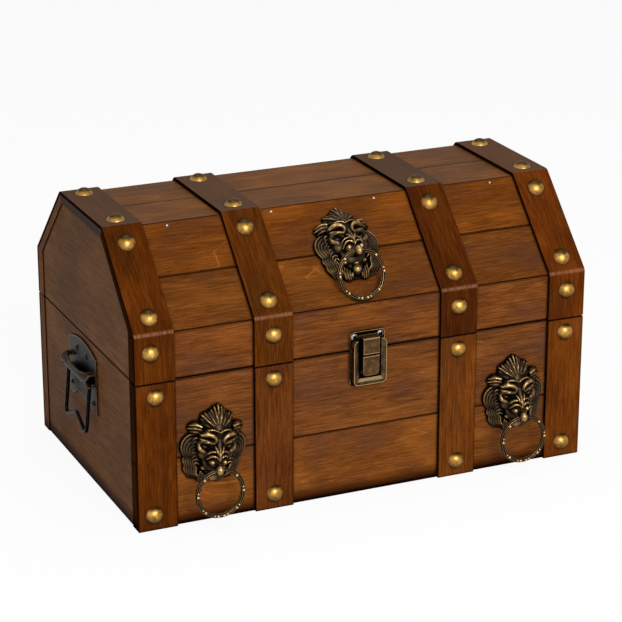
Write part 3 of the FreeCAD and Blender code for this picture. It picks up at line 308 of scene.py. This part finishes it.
# Latch
# A die-cast lever latch plated in antique brass: black plates with a rubbed rim, and a brushed lever frame,
# link and keeper tab that are bright along their edges. Its plates are held by small zinc screws.
def brushed_brass(name, body, split=None, black=None, rims=None):
    """Plated brass with upright brush marks, rubbed bright at its edges, and with a painted highlight on
    faces that look up. `split` is the depth in front of which a plate's tab is brass and behind which the
    plate is black. `black` holds two distances from the middle and a depth: between and behind these, ears,
    pins and bores are painted black as shade. `rims` is the distance from the middle beyond which, and the
    height below which, edges are bright."""
    hollow, blackened = "#050302", "#0a0705"
    material, tree, shader, colour = worn_metal(name, recess=hollow, body=body, worn=body[2], roughness=0.36,
                                                wear_mm=1.0, grime_mm=2.2, mottle_mm=3.5, sharp=0.93)
    place = add(tree, "TexCoord")
    across, depth, height = add(tree, "SeparateXYZ", {0: place.outputs["Object"]}).outputs
    beside = add(tree, "Math", {0: across}, operation="ABSOLUTE").outputs[0]
    # Brush marks 0.3 mm wide, coarser than real ones so that they show
    drawn = add(tree, "Mapping", {"Vector": place.outputs["Object"], "Scale": (3300, 3300, 180)})
    marks = add(tree, "TexNoise", {"Vector": drawn.outputs[0], "Scale": 1.0, "Detail": 2.0}).outputs["Fac"]
    marks = add(tree, "MapRange", {0: marks, 1: 0.3, 2: 0.7, 3: 0.72, 4: 1.18}).outputs[0]
    colour = add(tree, "Mix", {0: 1.0, 6: colour, 7: marks}, data_type="RGBA",
                 blend_type="MULTIPLY").outputs[2]
    # Painted highlight: faces that look up are drawn paler
    upward = add(tree, "SeparateXYZ", {0: place.outputs["Normal"]}).outputs[2]
    colour = coat(tree, colour, "#a88b64", upward, 0.15, 0.45, 0.75, marks)
    # Painted shade: near black in the gaps round the tab, link and frame, within 3.2 mm of other surfaces
    closed = add(tree, "AmbientOcclusion", {"Distance": 0.0032}, samples=8).outputs["AO"]
    colour = coat(tree, colour, hollow, closed, 0.78, 0.40, 0.97)
    shown = marks
    if rims:
        outer = add(tree, "Math", {0: beside, 1: rims[0]}, operation="GREATER_THAN").outputs[0]
        below = add(tree, "Math", {0: height, 1: rims[1]}, operation="LESS_THAN").outputs[0]
        outer = add(tree, "Math", {0: outer, 1: below}, operation="MAXIMUM").outputs[0]
        shown = add(tree, "Math", {0: marks, 1: outer}, operation="MULTIPLY").outputs[0]
    colour = coat(tree, colour, "#dcb878", edge_mask(tree, 0.0008, 0.95), 0.0, 1.0, 1.0, shown)
    if split:
        back = add(tree, "MapRange", {0: depth, 1: split - 0.0003, 2: split}).outputs[0]
        plate = coat(tree, linear(blackened), "#c7a666", edge_mask(tree, 0.0008, 0.93), 0.0, 1.0)
        colour = add(tree, "Mix", {0: back, 6: colour, 7: plate}, data_type="RGBA").outputs[2]
    # Painted shade: ears, pin ends and bores are drawn black where they lie in shadow
    if black:
        near, far, behind = black
        between = add(tree, "Math", {0: beside, 1: (near + far) / 2, 2: (far - near) / 2},
                      operation="COMPARE").outputs[0]
        hidden = add(tree, "Math", {0: depth, 1: behind}, operation="GREATER_THAN").outputs[0]
        colour = coat(tree, colour, blackened, hidden, 0.0, 1.0, 1.0, between)
    tree.links.new(colour, shader.inputs["Base Color"])
    return material


# Depths and distances of the latch, in metres. ANY_DEPTH lies far in front of the chest, so that all of a
# piece is behind it.
PLATE_FRONT, ANY_DEPTH = -0.1075, -1.0
LEVER_BORES = (0.0, 0.0093, -0.1121)
LEVER_RIMS = (0.0116, 0.0880)
LINK_BORES = (0.0067, 0.0134, ANY_DEPTH)
EARS = (0.0, 0.0130, ANY_DEPTH)
TAB_BRASS = ("#3d2f1e", "#573f28", "#705637")
frame_brass = brushed_brass("dark_brushed_brass", ("#32271a", "#4d3c29", "#6a543b"), black=LEVER_BORES,
                            rims=LEVER_RIMS)
link_brass = brushed_brass("brushed_antique_brass", TAB_BRASS, black=LINK_BORES)
plate_brass = brushed_brass("black_plate_brass", TAB_BRASS, split=PLATE_FRONT)
ear_brass = brushed_brass("black_brass", TAB_BRASS, split=ANY_DEPTH, black=EARS)
dress("latch_lever", frame_brass, ease=0.0008, segments=3)
dress("latch_link", link_brass, ease=0.0006, segments=3)
dress("latch_pivot_pins", ear_brass, ease=0.0003)
dress("latch_keeper", plate_brass, ease=0.0004, segments=3)
dress("latch_base_plate", ear_brass, ease=0.0004, segments=3)

# Zinc screw heads: a dull pale rim round a cross recess that is not modelled; its shade is painted as a black
# square, since the arms of a cross are too fine to show
SCREW_SIDE, SCREW_Z, RECESS_HALF, RECESS_FADE = 0.0103, 0.1221, 0.0013, 0.0002
crossed_zinc, tree, shader, colour = worn_metal(
    "crossed_zinc", recess="#2b2a28", body=("#8a8378", "#a39c90", "#b8b1a5"), worn="#cfc9be", roughness=0.46)
spot = add(tree, "SeparateXYZ", {0: add(tree, "TexCoord").outputs["Object"]}).outputs
side = add(tree, "Math", {0: spot[0]}, operation="ABSOLUTE").outputs[0]
ways = [add(tree, "Math", {0: way, 1: middle}, operation="SUBTRACT").outputs[0]
        for way, middle in ((side, SCREW_SIDE), (spot[2], SCREW_Z))]
side, rise = (add(tree, "Math", {0: way}, operation="ABSOLUTE").outputs[0] for way in ways)
farther = add(tree, "Math", {0: side, 1: rise}, operation="MAXIMUM").outputs[0]
colour = coat(tree, colour, "#0a0908", farther, RECESS_HALF + RECESS_FADE, RECESS_HALF)
tree.links.new(colour, shader.inputs["Base Color"])
dress("latch_keeper_screws", crossed_zinc)
dress("latch_base_screws", zinc)


# Drop handles
# Blackened sheet-iron plates, rolled into a barrel that holds a bent wire bail. The black has rubbed through
# to a coppery brown along the arch, the lip of the barrel and the lower edges.
iron = worn_metal("blackened_iron", recess="#040303", body=("#080504", "#130e0b", "#2e241d"), worn="#a98259",
                  roughness=0.46, wear_mm=1.0, grime_mm=3.4, mottle_mm=4.5, sharp=0.94)[0]
wire = worn_metal("blackened_wire", recess="#030303", body=("#0c0a09", "#141110", "#26211f"), worn="#4b4440",
                  roughness=0.38)[0]
for side in ("left", "right"):
    dress(f"handle_{side}_plate", iron, ease=0.0004)
    dress(f"handle_{side}_bail", wire)
dress("handle_screws", wire)


# Lion masks
# Cast bronze faces with a fan of hair, ears and a mane of curls, blackened and then rubbed back so that the
# high places shine. A ball at the mouth holds the ring; each is fixed by one screw from inside.
STEP = 0.3
across = np.arange(-28.2, 28.3, STEP)
along = np.arange(-18.0, 47.1, STEP)
U, V = np.meshgrid(across, along)
height = np.zeros_like(U)


def swell(u, v, wide, tall, base, rise, turned=0.0, carve=False):
    """Raise a rounded lump on the mask, in millimetres, or carve one out of it."""
    reach = max(wide, tall)
    columns = slice(*np.searchsorted(across, (u - reach, u + reach)))
    rows = slice(*np.searchsorted(along, (v - reach, v + reach)))
    du, dv = U[rows, columns] - u, V[rows, columns] - v
    c, s = math.cos(turned), math.sin(turned)
    left = 1 - ((du * c + dv * s) / wide) ** 2 - ((dv * c - du * s) / tall) ** 2
    if carve:
        height[rows, columns] -= rise * np.clip(left, 0, 1) ** 0.8
    else:
        lump = np.where(left > 0, base + rise * np.sqrt(np.clip(left, 0, 1)), 0)
        height[rows, columns] = np.maximum(height[rows, columns], lump)


def strand(points, width, base, rise):
    """A raised lock or fold along a curve through the points, tapering from its first to its last values."""
    points = np.array(points, float)
    knots = np.concatenate([[2 * points[0] - points[1]], points, [2 * points[-1] - points[-2]]])
    spots = []
    for p0, p1, p2, p3 in zip(knots, knots[1:], knots[2:], knots[3:]):
        count = max(3, int(np.linalg.norm(p2 - p1) / 0.25))
        for t in np.arange(count) / count:
            spots.append(0.5 * (2 * p1 + (p2 - p0) * t + (2 * p0 - 5 * p1 + 4 * p2 - p3) * t ** 2
                                + (3 * p1 - p0 - 3 * p2 + p3) * t ** 3))
    spots.append(points[-1])
    way = np.linspace(0, 1, len(spots))
    values = [np.interp(way, np.linspace(0, 1, len(ends)), ends) for ends in (width, base, rise)]
    for (u, v), wide, low, high in zip(spots, *values):
        swell(u, v, wide, wide, low, high)


def both_sides(points):
    """The same points on the right and on the left of the face."""
    return [[(way * u, v) for u, v in points] for way in (1, -1)]


# The plain head: a blocky skull with steep sides, the cheeks and the muzzle
swell(0, 19.5, 14.4, 12.0, 7.0, 5.6)
swell(0, 8.5, 10.6, 12.5, 6.5, 5.6)
swell(0, 6.6, 7.6, 6.6, 8.5, 7.0)
for way in (1, -1):
    swell(way * 8.6, 11.0, 5.4, 5.4, 6.5, 5.0, way * 0.5)
    swell(way * 9.0, 16.2, 4.2, 2.6, 0, 2.6, way * 0.4, carve=True)
swell(0, -2.4, 6.4, 5.4, 4.4, 2.8)
swell(0, 1.0, 13.0, 14.0, 1.0, 1.6)
height = np.maximum(height, 0)
# Fan of hair over the brow: long locks from the hairline with shorter ones between them
FAN_FOOT = 28.0
swell(0, FAN_FOOT, 13.6, 13.4, 1.0, 5.6)
FAN_REACH = (16.2, 15.2, 13.9, 13.0, 14.0, 14.6, 13.2, 12.6, 12.4, 12.2, 11.8)
for count in range(-10, 11):
    lean = math.radians(10.2 * count)
    reach = FAN_REACH[abs(count)]
    first = 1.4 if count % 2 == 0 else 5.4
    lock = [(radius * math.sin(lean), FAN_FOOT + radius * math.cos(lean))
            for radius in (first, 0.62 * reach, reach)]
    low = 11.4 - 0.42 * first
    strand(lock, (0.6, 1.1, 1.2), (low, 6.4, 2.0), (1.3, 1.9, 1.6))
# Ears: a leaf with three folds
for way in (1, -1):
    swell(way * 15.6, 27.4, 4.4, 3.2, 2.0, 2.2, way * 0.2)
for fold in (((12.2, 30.2), (16.2, 31.2), (20.4, 29.8)), ((12.6, 28.0), (16.8, 28.6), (21.2, 27.5)),
             ((13.0, 25.9), (16.4, 26.0), (19.6, 25.2))):
    for lock in both_sides(fold):
        strand(lock, (1.1, 1.3, 0.8), (6.6, 4.2, 1.0), (1.7, 2.2, 1.7))
# Mane: wavy locks that sweep out below the ear, draw in beside the mouth and fall in points beside the jaw
for way in (1, -1):
    swell(way * 17.0, 14.5, 7.0, 9.0, 1.0, 3.0)
    swell(way * 14.0, 0.6, 6.2, 8.4, 1.0, 3.0, way * -0.25)
MANE = ((19.8, 22.6), (23.4, 18.6), (24.4, 14.0), (23.2, 9.6), (20.8, 5.8))
FALL = ((20.6, 6.8), (22.0, 3.4), (20.6, 0.0), (20.4, -3.6), (17.8, -7.6), (15.8, -11.0))
for count in range(6):
    inset = 1.95 * count
    low = 1.3 + 0.72 * count
    sweep = [(14.6, 24.0 - 1.2 * count)]
    sweep += [(max(u - inset, 11.0), v - 0.05 * inset * (v - 6.0)) for u, v in MANE]
    for lock in both_sides(sweep):
        strand(lock, (0.8, 0.95, 0.95, 0.8), (low + 1.6, low, low, low - 0.4), (1.3, 1.9, 1.9, 1.4))
    fall = [(u - 1.6 * count, v - 0.25 * count) for u, v in FALL]
    for lock in both_sides(fall):
        strand(lock, (0.7, 0.85, 0.85, 0.4), (low - 0.6, low - 0.2, low - 0.4, 0.8), (1.4, 2.1, 2.1, 0.8))
# Short curls between the mane and the face
for count in range(8):
    rise = 21.0 - 2.7 * count
    draw = 0.45 * max(count - 3, 0)
    for lock in both_sides([(12.8 - draw, rise - 0.4), (14.4 - draw, rise + 0.8),
                            (16.2 - draw, rise + 0.2), (17.2 - draw, rise - 1.6)]):
        strand(lock, (0.7, 0.85, 0.5), (6.0, 5.6, 4.6), (1.1, 1.3, 0.9))
# Beard: a tuft on either side of the chin
for top, fall, tip in (((8.8, -4.4), (9.2, -9.0), (8.6, -12.6)), ((7.0, -5.6), (7.3, -10.0), (6.8, -13.6)),
                       ((5.3, -7.4), (5.5, -11.0), (5.1, -13.4)), ((3.8, -9.6), (3.9, -11.0), (3.6, -12.4))):
    for lock in both_sides([top, fall, tip]):
        strand(lock, (1.0, 1.15, 0.7), (4.0, 3.2, 1.8), (1.7, 1.8, 1.2))
# Hairline and brows; each brow turns down beside the nose and back under itself as the upper eyelid
for line in both_sides([(0, 27.4), (4.2, 29.1), (8.2, 28.9), (11.8, 27.0)]):
    strand(line, (0.6, 0.7, 0.5), (12.2, 11.4, 9.0), (1.1, 1.2, 0.9))
for way in (1, -1):
    swell(way * 7.6, 23.2, 6.4, 4.8, 9.0, 3.6, way * -0.08)
for brow in both_sides([(13.6, 25.0), (9.8, 26.2), (6.0, 25.6), (3.4, 23.6), (2.9, 21.4), (4.2, 19.6)]):
    strand(brow, (0.8, 1.9, 2.0, 1.7, 1.5), (8.6, 10.8, 12.0, 12.4, 11.8), (1.6, 2.8, 3.0, 2.8, 2.2))
for lid in both_sides([(4.2, 19.4), (8.2, 20.4), (13.4, 19.8)]):
    strand(lid, (1.3, 1.6, 0.8), (11.8, 10.8, 8.0), (2.2, 2.6, 1.6))
for way in (1, -1):
    for place_u, deep in ((6.2, 2.6), (8.4, 3.2), (10.6, 3.2), (12.8, 2.6)):
        swell(way * place_u, 22.9 + 0.05 * (place_u - 6), 1.7, 0.85, 0, deep, carve=True)
# Eyes, with the cheekbone curving round under them
for way in (1, -1):
    swell(way * 9.0, 16.0, 2.6, 1.2, 9.0, 1.8, way * 0.45)
for bone in both_sides([(14.0, 18.0), (12.8, 14.8), (10.2, 12.9), (7.4, 12.0)]):
    strand(bone, (1.0, 2.1, 2.0, 0.8), (7.6, 8.4, 9.6, 10.4), (1.4, 2.6, 2.6, 1.3))
# Nose: a bridge that opens into a palmette of three leaves
strand([(0, 22.0), (0, 17.0), (0, 12.0)], (1.3, 2.2, 2.6), (12.4, 13.0, 13.6), (1.4, 2.2, 3.4))
strand([(0, 16.8), (0, 12.4), (0, 7.8)], (0.7, 1.0, 0.7), (15.2, 16.6, 16.4), (1.0, 1.7, 1.5))
for leaf in both_sides([(3.2, 17.4), (2.1, 15.0), (0.8, 12.0)]):
    strand(leaf, (0.7, 1.0, 0.6), (13.8, 15.2, 16.4), (1.2, 2.0, 1.4))
# Two moustache arcs over each whisker pad
for arc in both_sides([(0.6, 11.6), (3.2, 14.0), (6.6, 13.2), (9.2, 9.2)]):
    strand(arc, (0.6, 0.95, 0.8, 0.5), (15.6, 14.2, 12.6, 10.0), (1.2, 1.8, 1.7, 1.2))
for arc in both_sides([(0.5, 8.4), (2.9, 10.8), (5.8, 10.6), (8.2, 7.4)]):
    strand(arc, (0.6, 1.0, 0.95, 0.5), (16.2, 15.4, 14.2, 11.6), (1.2, 1.9, 1.8, 1.2))
for pad in (1, -1):
    swell(pad * 4.7, 6.2, 2.3, 2.2, 14.2, 3.0)
# Corners of the jaw and the chin
for way in (1, -1):
    swell(way * 7.4, -0.8, 2.4, 2.2, 5.6, 2.4)
swell(0, -7.4, 3.9, 3.6, 5.4, 4.6)
swell(0, -3.7, 2.7, 1.9, 7.6, 3.0)
height = np.maximum(height, 0)


def blurred(field, reach):
    """A field smoothed over a few cells by running means both ways."""
    for axis in (0, 1):
        for _ in range(2):
            field = sum(np.roll(field, shift, axis) for shift in range(-reach, reach + 1)) / (2 * reach + 1)
    return field


# Relief is how far a place stands out from what is near it and from what is farther off, and less on steep
# sides; where it is high the patina is rubbed off. What is thinner than THINNEST is cut away.
THINNEST = 0.3
relief = 0.45 + 0.31 * (height - blurred(height, 4)) + 0.06 * (height - blurred(height, 14))
height = np.where(height > THINNEST, blurred(height, 1), height)
steep = np.hypot(*np.gradient(height, STEP))
relief = np.clip(relief - 0.12 * np.clip(steep - 1.1, 0, 3), 0, 0.92)
inside = height > THINNEST
cells = inside[:-1, :-1] & inside[1:, :-1] & inside[:-1, 1:] & inside[1:, 1:]
used = np.zeros_like(inside)
for rows, columns in ((slice(None, -1), slice(None, -1)), (slice(1, None), slice(None, -1)),
                      (slice(None, -1), slice(1, None)), (slice(1, None), slice(1, None))):
    used[rows, columns] |= cells
number = np.full(U.shape, -1)
number[used] = np.arange(used.sum())
BALL_RISE = 1.5
top = np.stack([U[used], V[used] - BALL_RISE, height[used]], axis=1)
back = top * (1, 1, 0)
fall = len(top)
i, j = np.nonzero(cells)
faces = np.stack([number[i, j], number[i, j + 1], number[i + 1, j + 1], number[i + 1, j]], axis=1)
skin = [faces, faces[:, ::-1] + fall]
padded_cells = np.pad(cells, 1)
tall, wide = cells.shape
for di, dj, (a, b) in ((-1, 0, ((0, 0), (0, 1))), (1, 0, ((1, 1), (1, 0))),
                       (0, -1, ((1, 0), (0, 0))), (0, 1, ((0, 1), (1, 1)))):
    bare = ~padded_cells[1 + di:1 + di + tall, 1 + dj:1 + dj + wide] & cells
    i, j = np.nonzero(bare)
    first, second = number[i + a[0], j + a[1]], number[i + b[0], j + b[1]]
    skin.append(np.stack([second, first, first + fall, second + fall], axis=1))
BALL_SHADE, NECK_SHADE, BACK_SHADE = 0.90, 0.2, 0.2
mask_points = [*top.tolist(), *back.tolist()]
mask_faces = np.concatenate(skin).tolist()
mask_relief = [*relief[used].tolist(), *([BACK_SHADE] * fall)]


def rounded(middle, radii, rings=14, sides=20):
    """Points and faces of an ellipsoid."""
    points = [(0, 0, 1)]
    for ring in range(1, rings):
        tilt = math.pi * ring / rings
        for side in range(sides):
            turn = 2 * math.pi * side / sides
            points.append((math.sin(tilt) * math.cos(turn), math.sin(tilt) * math.sin(turn), math.cos(tilt)))
    points.append((0, 0, -1))
    placed = [tuple(m + r * p for m, r, p in zip(middle, radii, point)) for point in points]
    faces = [(0, 1 + side, 1 + (side + 1) % sides) for side in range(sides)]
    for ring in range(rings - 2):
        low, high = 1 + ring * sides, 1 + (ring + 1) * sides
        faces += [(low + side, high + side, high + (side + 1) % sides, low + (side + 1) % sides)
                  for side in range(sides)]
    last = len(points) - 1
    faces += [(last, last - sides + (side + 1) % sides, last - sides + side) for side in range(sides)]
    return placed, faces


def join(points, faces, values, more, shade):
    """Add another closed form to a growing mesh, with one relief value for all of it."""
    start = len(points)
    points += more[0]
    faces += [tuple(start + corner for corner in face) for face in more[1]]
    values += [shade] * len(more[0])


def as_mesh(name, points, faces, values):
    """A smooth mesh in metres from points in millimetres, with its relief kept for the patina."""
    mesh = bpy.data.meshes.new(name)
    mesh.from_pydata([tuple(value / 1000 for value in point) for point in points], [], faces)
    mesh.polygons.foreach_set("use_smooth", [True] * len(mesh.polygons))
    mesh.attributes.new("relief", "FLOAT", "POINT").data.foreach_set("value", values)
    mesh.update()
    return mesh


BALL_OUT = 19.0
join(mask_points, mask_faces, mask_relief, rounded((0, 0, BALL_OUT), (2.7, 3.6, 3.3)), BALL_SHADE)
join(mask_points, mask_faces, mask_relief, rounded((0, 0.4, 12.0), (2.2, 2.2, 6.0)), NECK_SHADE)

# Cast bronze: black in the hollows, olive brown on the slopes, pale gold where hands have rubbed it
bronze, tree, shader = start_material("cast_antique_bronze")
high = add(tree, "Attribute", attribute_name="relief").outputs["Fac"]
place = add(tree, "TexCoord").outputs["Object"]
GRIT_MM = 0.9
grit = add(tree, "TexNoise", {"Vector": place, "Scale": 1000 / GRIT_MM, "Detail": 3.0, "Roughness": 0.6})
grit = grit.outputs["Fac"]
level = add(tree, "Math", {0: grit, 1: 0.22, 2: high}, operation="MULTIPLY_ADD").outputs[0]
level = add(tree, "MapRange", {0: level, 1: 0.11, 2: 1.11}).outputs[0]
PATINA = ((0.0, "#060403"), (0.30, "#130e08"), (0.50, "#332618"), (0.70, "#5e482e"), (0.86, "#8f7046"),
          (1.0, "#cfae76"))
patina = add(tree, "ValToRGB", {"Fac": level}, PATINA).outputs[0]
gloss = add(tree, "MapRange", {0: level, 1: 0.2, 2: 0.9, 3: 0.52, 4: 0.30}).outputs[0]
bump = add(tree, "Bump", {"Strength": 0.2, "Distance": 0.0001, "Height": grit})
tree.links.new(patina, shader.inputs["Base Color"])
tree.links.new(gloss, shader.inputs["Roughness"])
tree.links.new(bump.outputs[0], shader.inputs["Normal"])
shader.inputs["Metallic"].default_value = 0.92

mask_mesh = as_mesh("lion_mask", mask_points, mask_faces, mask_relief)
mask_mesh.materials.append(bronze)
FRONT = Matrix(((1, 0, 0), (0, 0, -1), (0, 1, 0)))
SLOPE = Matrix.Rotation(math.radians(-45), 3, "X") @ FRONT
eyes = {joint["child"]: Vector(joint["pos_m"]) for joint in frame["joints"]}
# Where each pull sits, the body it rides on, the face it stands on and how many degrees askew it was fixed
PULLS = (("left", "base", FRONT, -7.5), ("right", "base", FRONT, 2.3), ("lid", "lid", SLOPE, 0))
for side, body, stand, tilt in PULLS:
    mask = bpy.data.objects.new(f"lion_mask_{side}", mask_mesh)
    bpy.context.scene.collection.objects.link(mask)
    foot = eyes[f"ring_{side}"] - stand @ Vector((0, 0, BALL_OUT / 1000))
    turned = stand @ Matrix.Rotation(math.radians(tilt), 3, "Z")
    mask.matrix_world = Matrix.Translation(foot) @ turned.to_4x4()
    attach(mask, body)
    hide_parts(f"lion_head_{side}")
for name in ("lion_base_screws", "lion_lid_screw"):
    dress(name, zinc)


# Rings
# Cast bronze rings of twisted reeds set with small beads, open at the top, whose ends turn in the lion's
# ball. They share the masks' patina.
RING_RADIUS, RING_HALF, RING_ROOM, OPENING = 17.3, 1.9, 0.3, 8
RING_GAP = math.degrees(OPENING / 2 / RING_RADIUS)
ring_points, ring_faces, ring_relief = [], [], []


def reed(offset, radius, start, twist, shade, stations=180, sides=10):
    """One reed along the ring at an offset from its middle line, winding by `twist` turns on each side."""
    points, values = [], []
    for station in range(stations + 1):
        angle = math.radians(RING_GAP + (360 - 2 * RING_GAP) * station / stations)
        from_foot = abs(angle - math.pi) / math.pi
        wind = start + 2 * math.pi * twist * from_foot
        middle = RING_RADIUS + offset * math.cos(wind)
        for side in range(sides):
            around = 2 * math.pi * side / sides
            out = middle + radius * math.cos(around)
            deep = offset * math.sin(wind) + radius * math.sin(around)
            points.append((out * math.sin(angle), out * math.cos(angle) - RING_RADIUS, deep))
            values.append(shade[0] + (shade[1] - shade[0]) * (0.5 + 0.5 * math.cos(around - wind)) ** 2)
    faces = []
    for station in range(stations):
        low, high = station * sides, (station + 1) * sides
        faces += [(low + side, low + (side + 1) % sides, high + (side + 1) % sides, high + side)
                  for side in range(sides)]
    faces += [tuple(range(sides))[::-1], tuple(range(stations * sides, (stations + 1) * sides))]
    begin = len(ring_points)
    ring_points.extend(points)
    ring_faces.extend(tuple(begin + corner for corner in face) for face in faces)
    ring_relief.extend(values)


CORE, REED_OUT, REED_RADIUS, REEDS = 1.25, 1.42, 0.40, 7
reed(0.0, CORE, 0.0, 0.0, (0.0, 0.0))
for count in range(REEDS):
    reed(REED_OUT, REED_RADIUS, 2 * math.pi * count / REEDS, 0.4, (0.0, 0.82))
BEAD_OUT = 1.6
# Degrees from the ring's foot, and radius, of the beads on each side
BEADS = ((7.5, 1.05), (16, 0.7), (43, 1.05), (52, 0.7), (90, 1.05), (99, 0.7), (135, 1.05))
for angle, size in ((way * angle, size) for angle, size in BEADS for way in (1, -1)):
    turn_to = math.radians(180 - angle)
    for face_side in (1, -1):
        spot = (RING_RADIUS * math.sin(turn_to), RING_RADIUS * math.cos(turn_to) - RING_RADIUS,
                face_side * BEAD_OUT)
        join(ring_points, ring_faces, ring_relief, rounded(spot, (size, size, size), 8, 12), 1.0)
for way in (1, -1):
    join(ring_points, ring_faces, ring_relief, rounded((way * 3.4, -0.3, 0), (2.4, 0.9, 0.9), 8, 12), 0.6)
ring_mesh = as_mesh("lion_ring", ring_points, ring_faces, ring_relief)
ring_mesh.materials.append(bronze)
# The lid's ring lies back until its foot rests on the slope
lid_ring_turn = math.asin((BALL_OUT - RING_HALF - RING_ROOM) / (2 * RING_RADIUS))
for side, body, stand, tilt in PULLS:
    ring = bpy.data.objects.new(f"lion_ring_{side}_cast", ring_mesh)
    bpy.context.scene.collection.objects.link(ring)
    hang = stand @ Matrix.Rotation(lid_ring_turn if side == "lid" else 0.0, 3, "X")
    ring.matrix_world = Matrix.Translation(eyes[f"ring_{side}"]) @ hang.to_4x4()
    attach(ring, f"ring_{side}")
    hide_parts(f"lion_ring_{side}")


# Studio
# A pale floor of white paper and three soft lamps. The room reads white to the camera, as in a product
# photograph, but is dimmer in reflections and dimmer still as a light.
floor_mesh = bpy.data.meshes.new("floor")
floor_mesh.from_pydata([(-3, -3, 0), (3, -3, 0), (3, 3, 0), (-3, 3, 0)], [], [(0, 1, 2, 3)])
floor = bpy.data.objects.new("floor", floor_mesh)
bpy.context.scene.collection.objects.link(floor)
floor.location.z = -0.0002
paper = bpy.data.materials.new("white_paper")
paper.use_nodes = True
tree = paper.node_tree
tree.nodes.clear()
rays = add(tree, "LightPath")
seen = add(tree, "Math", {0: rays.outputs["Is Camera Ray"], 1: rays.outputs["Is Transmission Ray"]},
           operation="MAXIMUM")
matt = add(tree, "BsdfDiffuse", {"Color": linear("#f2f2f0")})
glow = add(tree, "Emission", {"Color": (1, 1, 1, 1), "Strength": 1.0})
share = add(tree, "Math", {0: seen.outputs[0], 1: 0.92}, operation="MULTIPLY")
sheet = add(tree, "MixShader", {0: share.outputs[0], 1: matt.outputs[0], 2: glow.outputs[0]})
add(tree, "OutputMaterial", {"Surface": sheet.outputs[0]})
floor_mesh.materials.append(paper)

world = bpy.data.worlds.new("studio")
bpy.context.scene.world = world
world.use_nodes = True
tree = world.node_tree
tree.nodes.clear()
rays = add(tree, "LightPath")
white = add(tree, "Background", {"Color": (1, 1, 1, 1), "Strength": 1.0})
mirror = add(tree, "MapRange", {0: rays.outputs["Is Glossy Ray"], 3: 0.33, 4: 0.7})
soft = add(tree, "Background", {"Color": (1, 1, 1, 1), "Strength": mirror.outputs[0]})
both = add(tree, "MixShader", {0: rays.outputs["Is Camera Ray"], 1: soft.outputs[0], 2: white.outputs[0]})
add(tree, "OutputWorld", {"Surface": both.outputs[0]})


def softbox(name, spot, aim, width, height, watts):
    """A rectangular soft lamp aimed at a point."""
    lamp = bpy.data.lights.new(name, "AREA")
    lamp.shape = "RECTANGLE"
    lamp.size = width
    lamp.size_y = height
    lamp.energy = watts
    thing = bpy.data.objects.new(name, lamp)
    thing.location = spot
    thing.rotation_euler = (Vector(aim) - Vector(spot)).to_track_quat("-Z", "Y").to_euler()
    bpy.context.scene.collection.objects.link(thing)


MIDDLE = (0, 0, 0.1)
softbox("key", (-0.15, -1.65, 0.95), MIDDLE, width=0.8, height=0.8, watts=27)
softbox("overhead", (0.1, 0.1, 1.6), MIDDLE, width=1.2, height=1.0, watts=8.5)
softbox("fill", (-1.5, -0.6, 0.6), MIDDLE, width=0.8, height=0.8, watts=1)

# Camera fitted to the corners of the box, the straps and the lid in the photo
camera_data = bpy.data.cameras.new("camera")
camera_data.lens = 136.71
camera_data.sensor_width = 36
camera = bpy.data.objects.new("camera", camera_data)
bpy.context.scene.collection.objects.link(camera)
turn, rise, distance = math.radians(-23.928), math.radians(19.92), 1.7987
away = Vector((math.sin(turn) * math.cos(rise), -math.cos(turn) * math.cos(rise), math.sin(rise)))
camera.location = Vector((0.0032, 0, 0.1047)) + away * distance
camera.rotation_euler = away.to_track_quat("Z", "Y").to_euler()
bpy.context.scene.camera = camera
bpy.context.scene.view_settings.view_transform = "Standard"
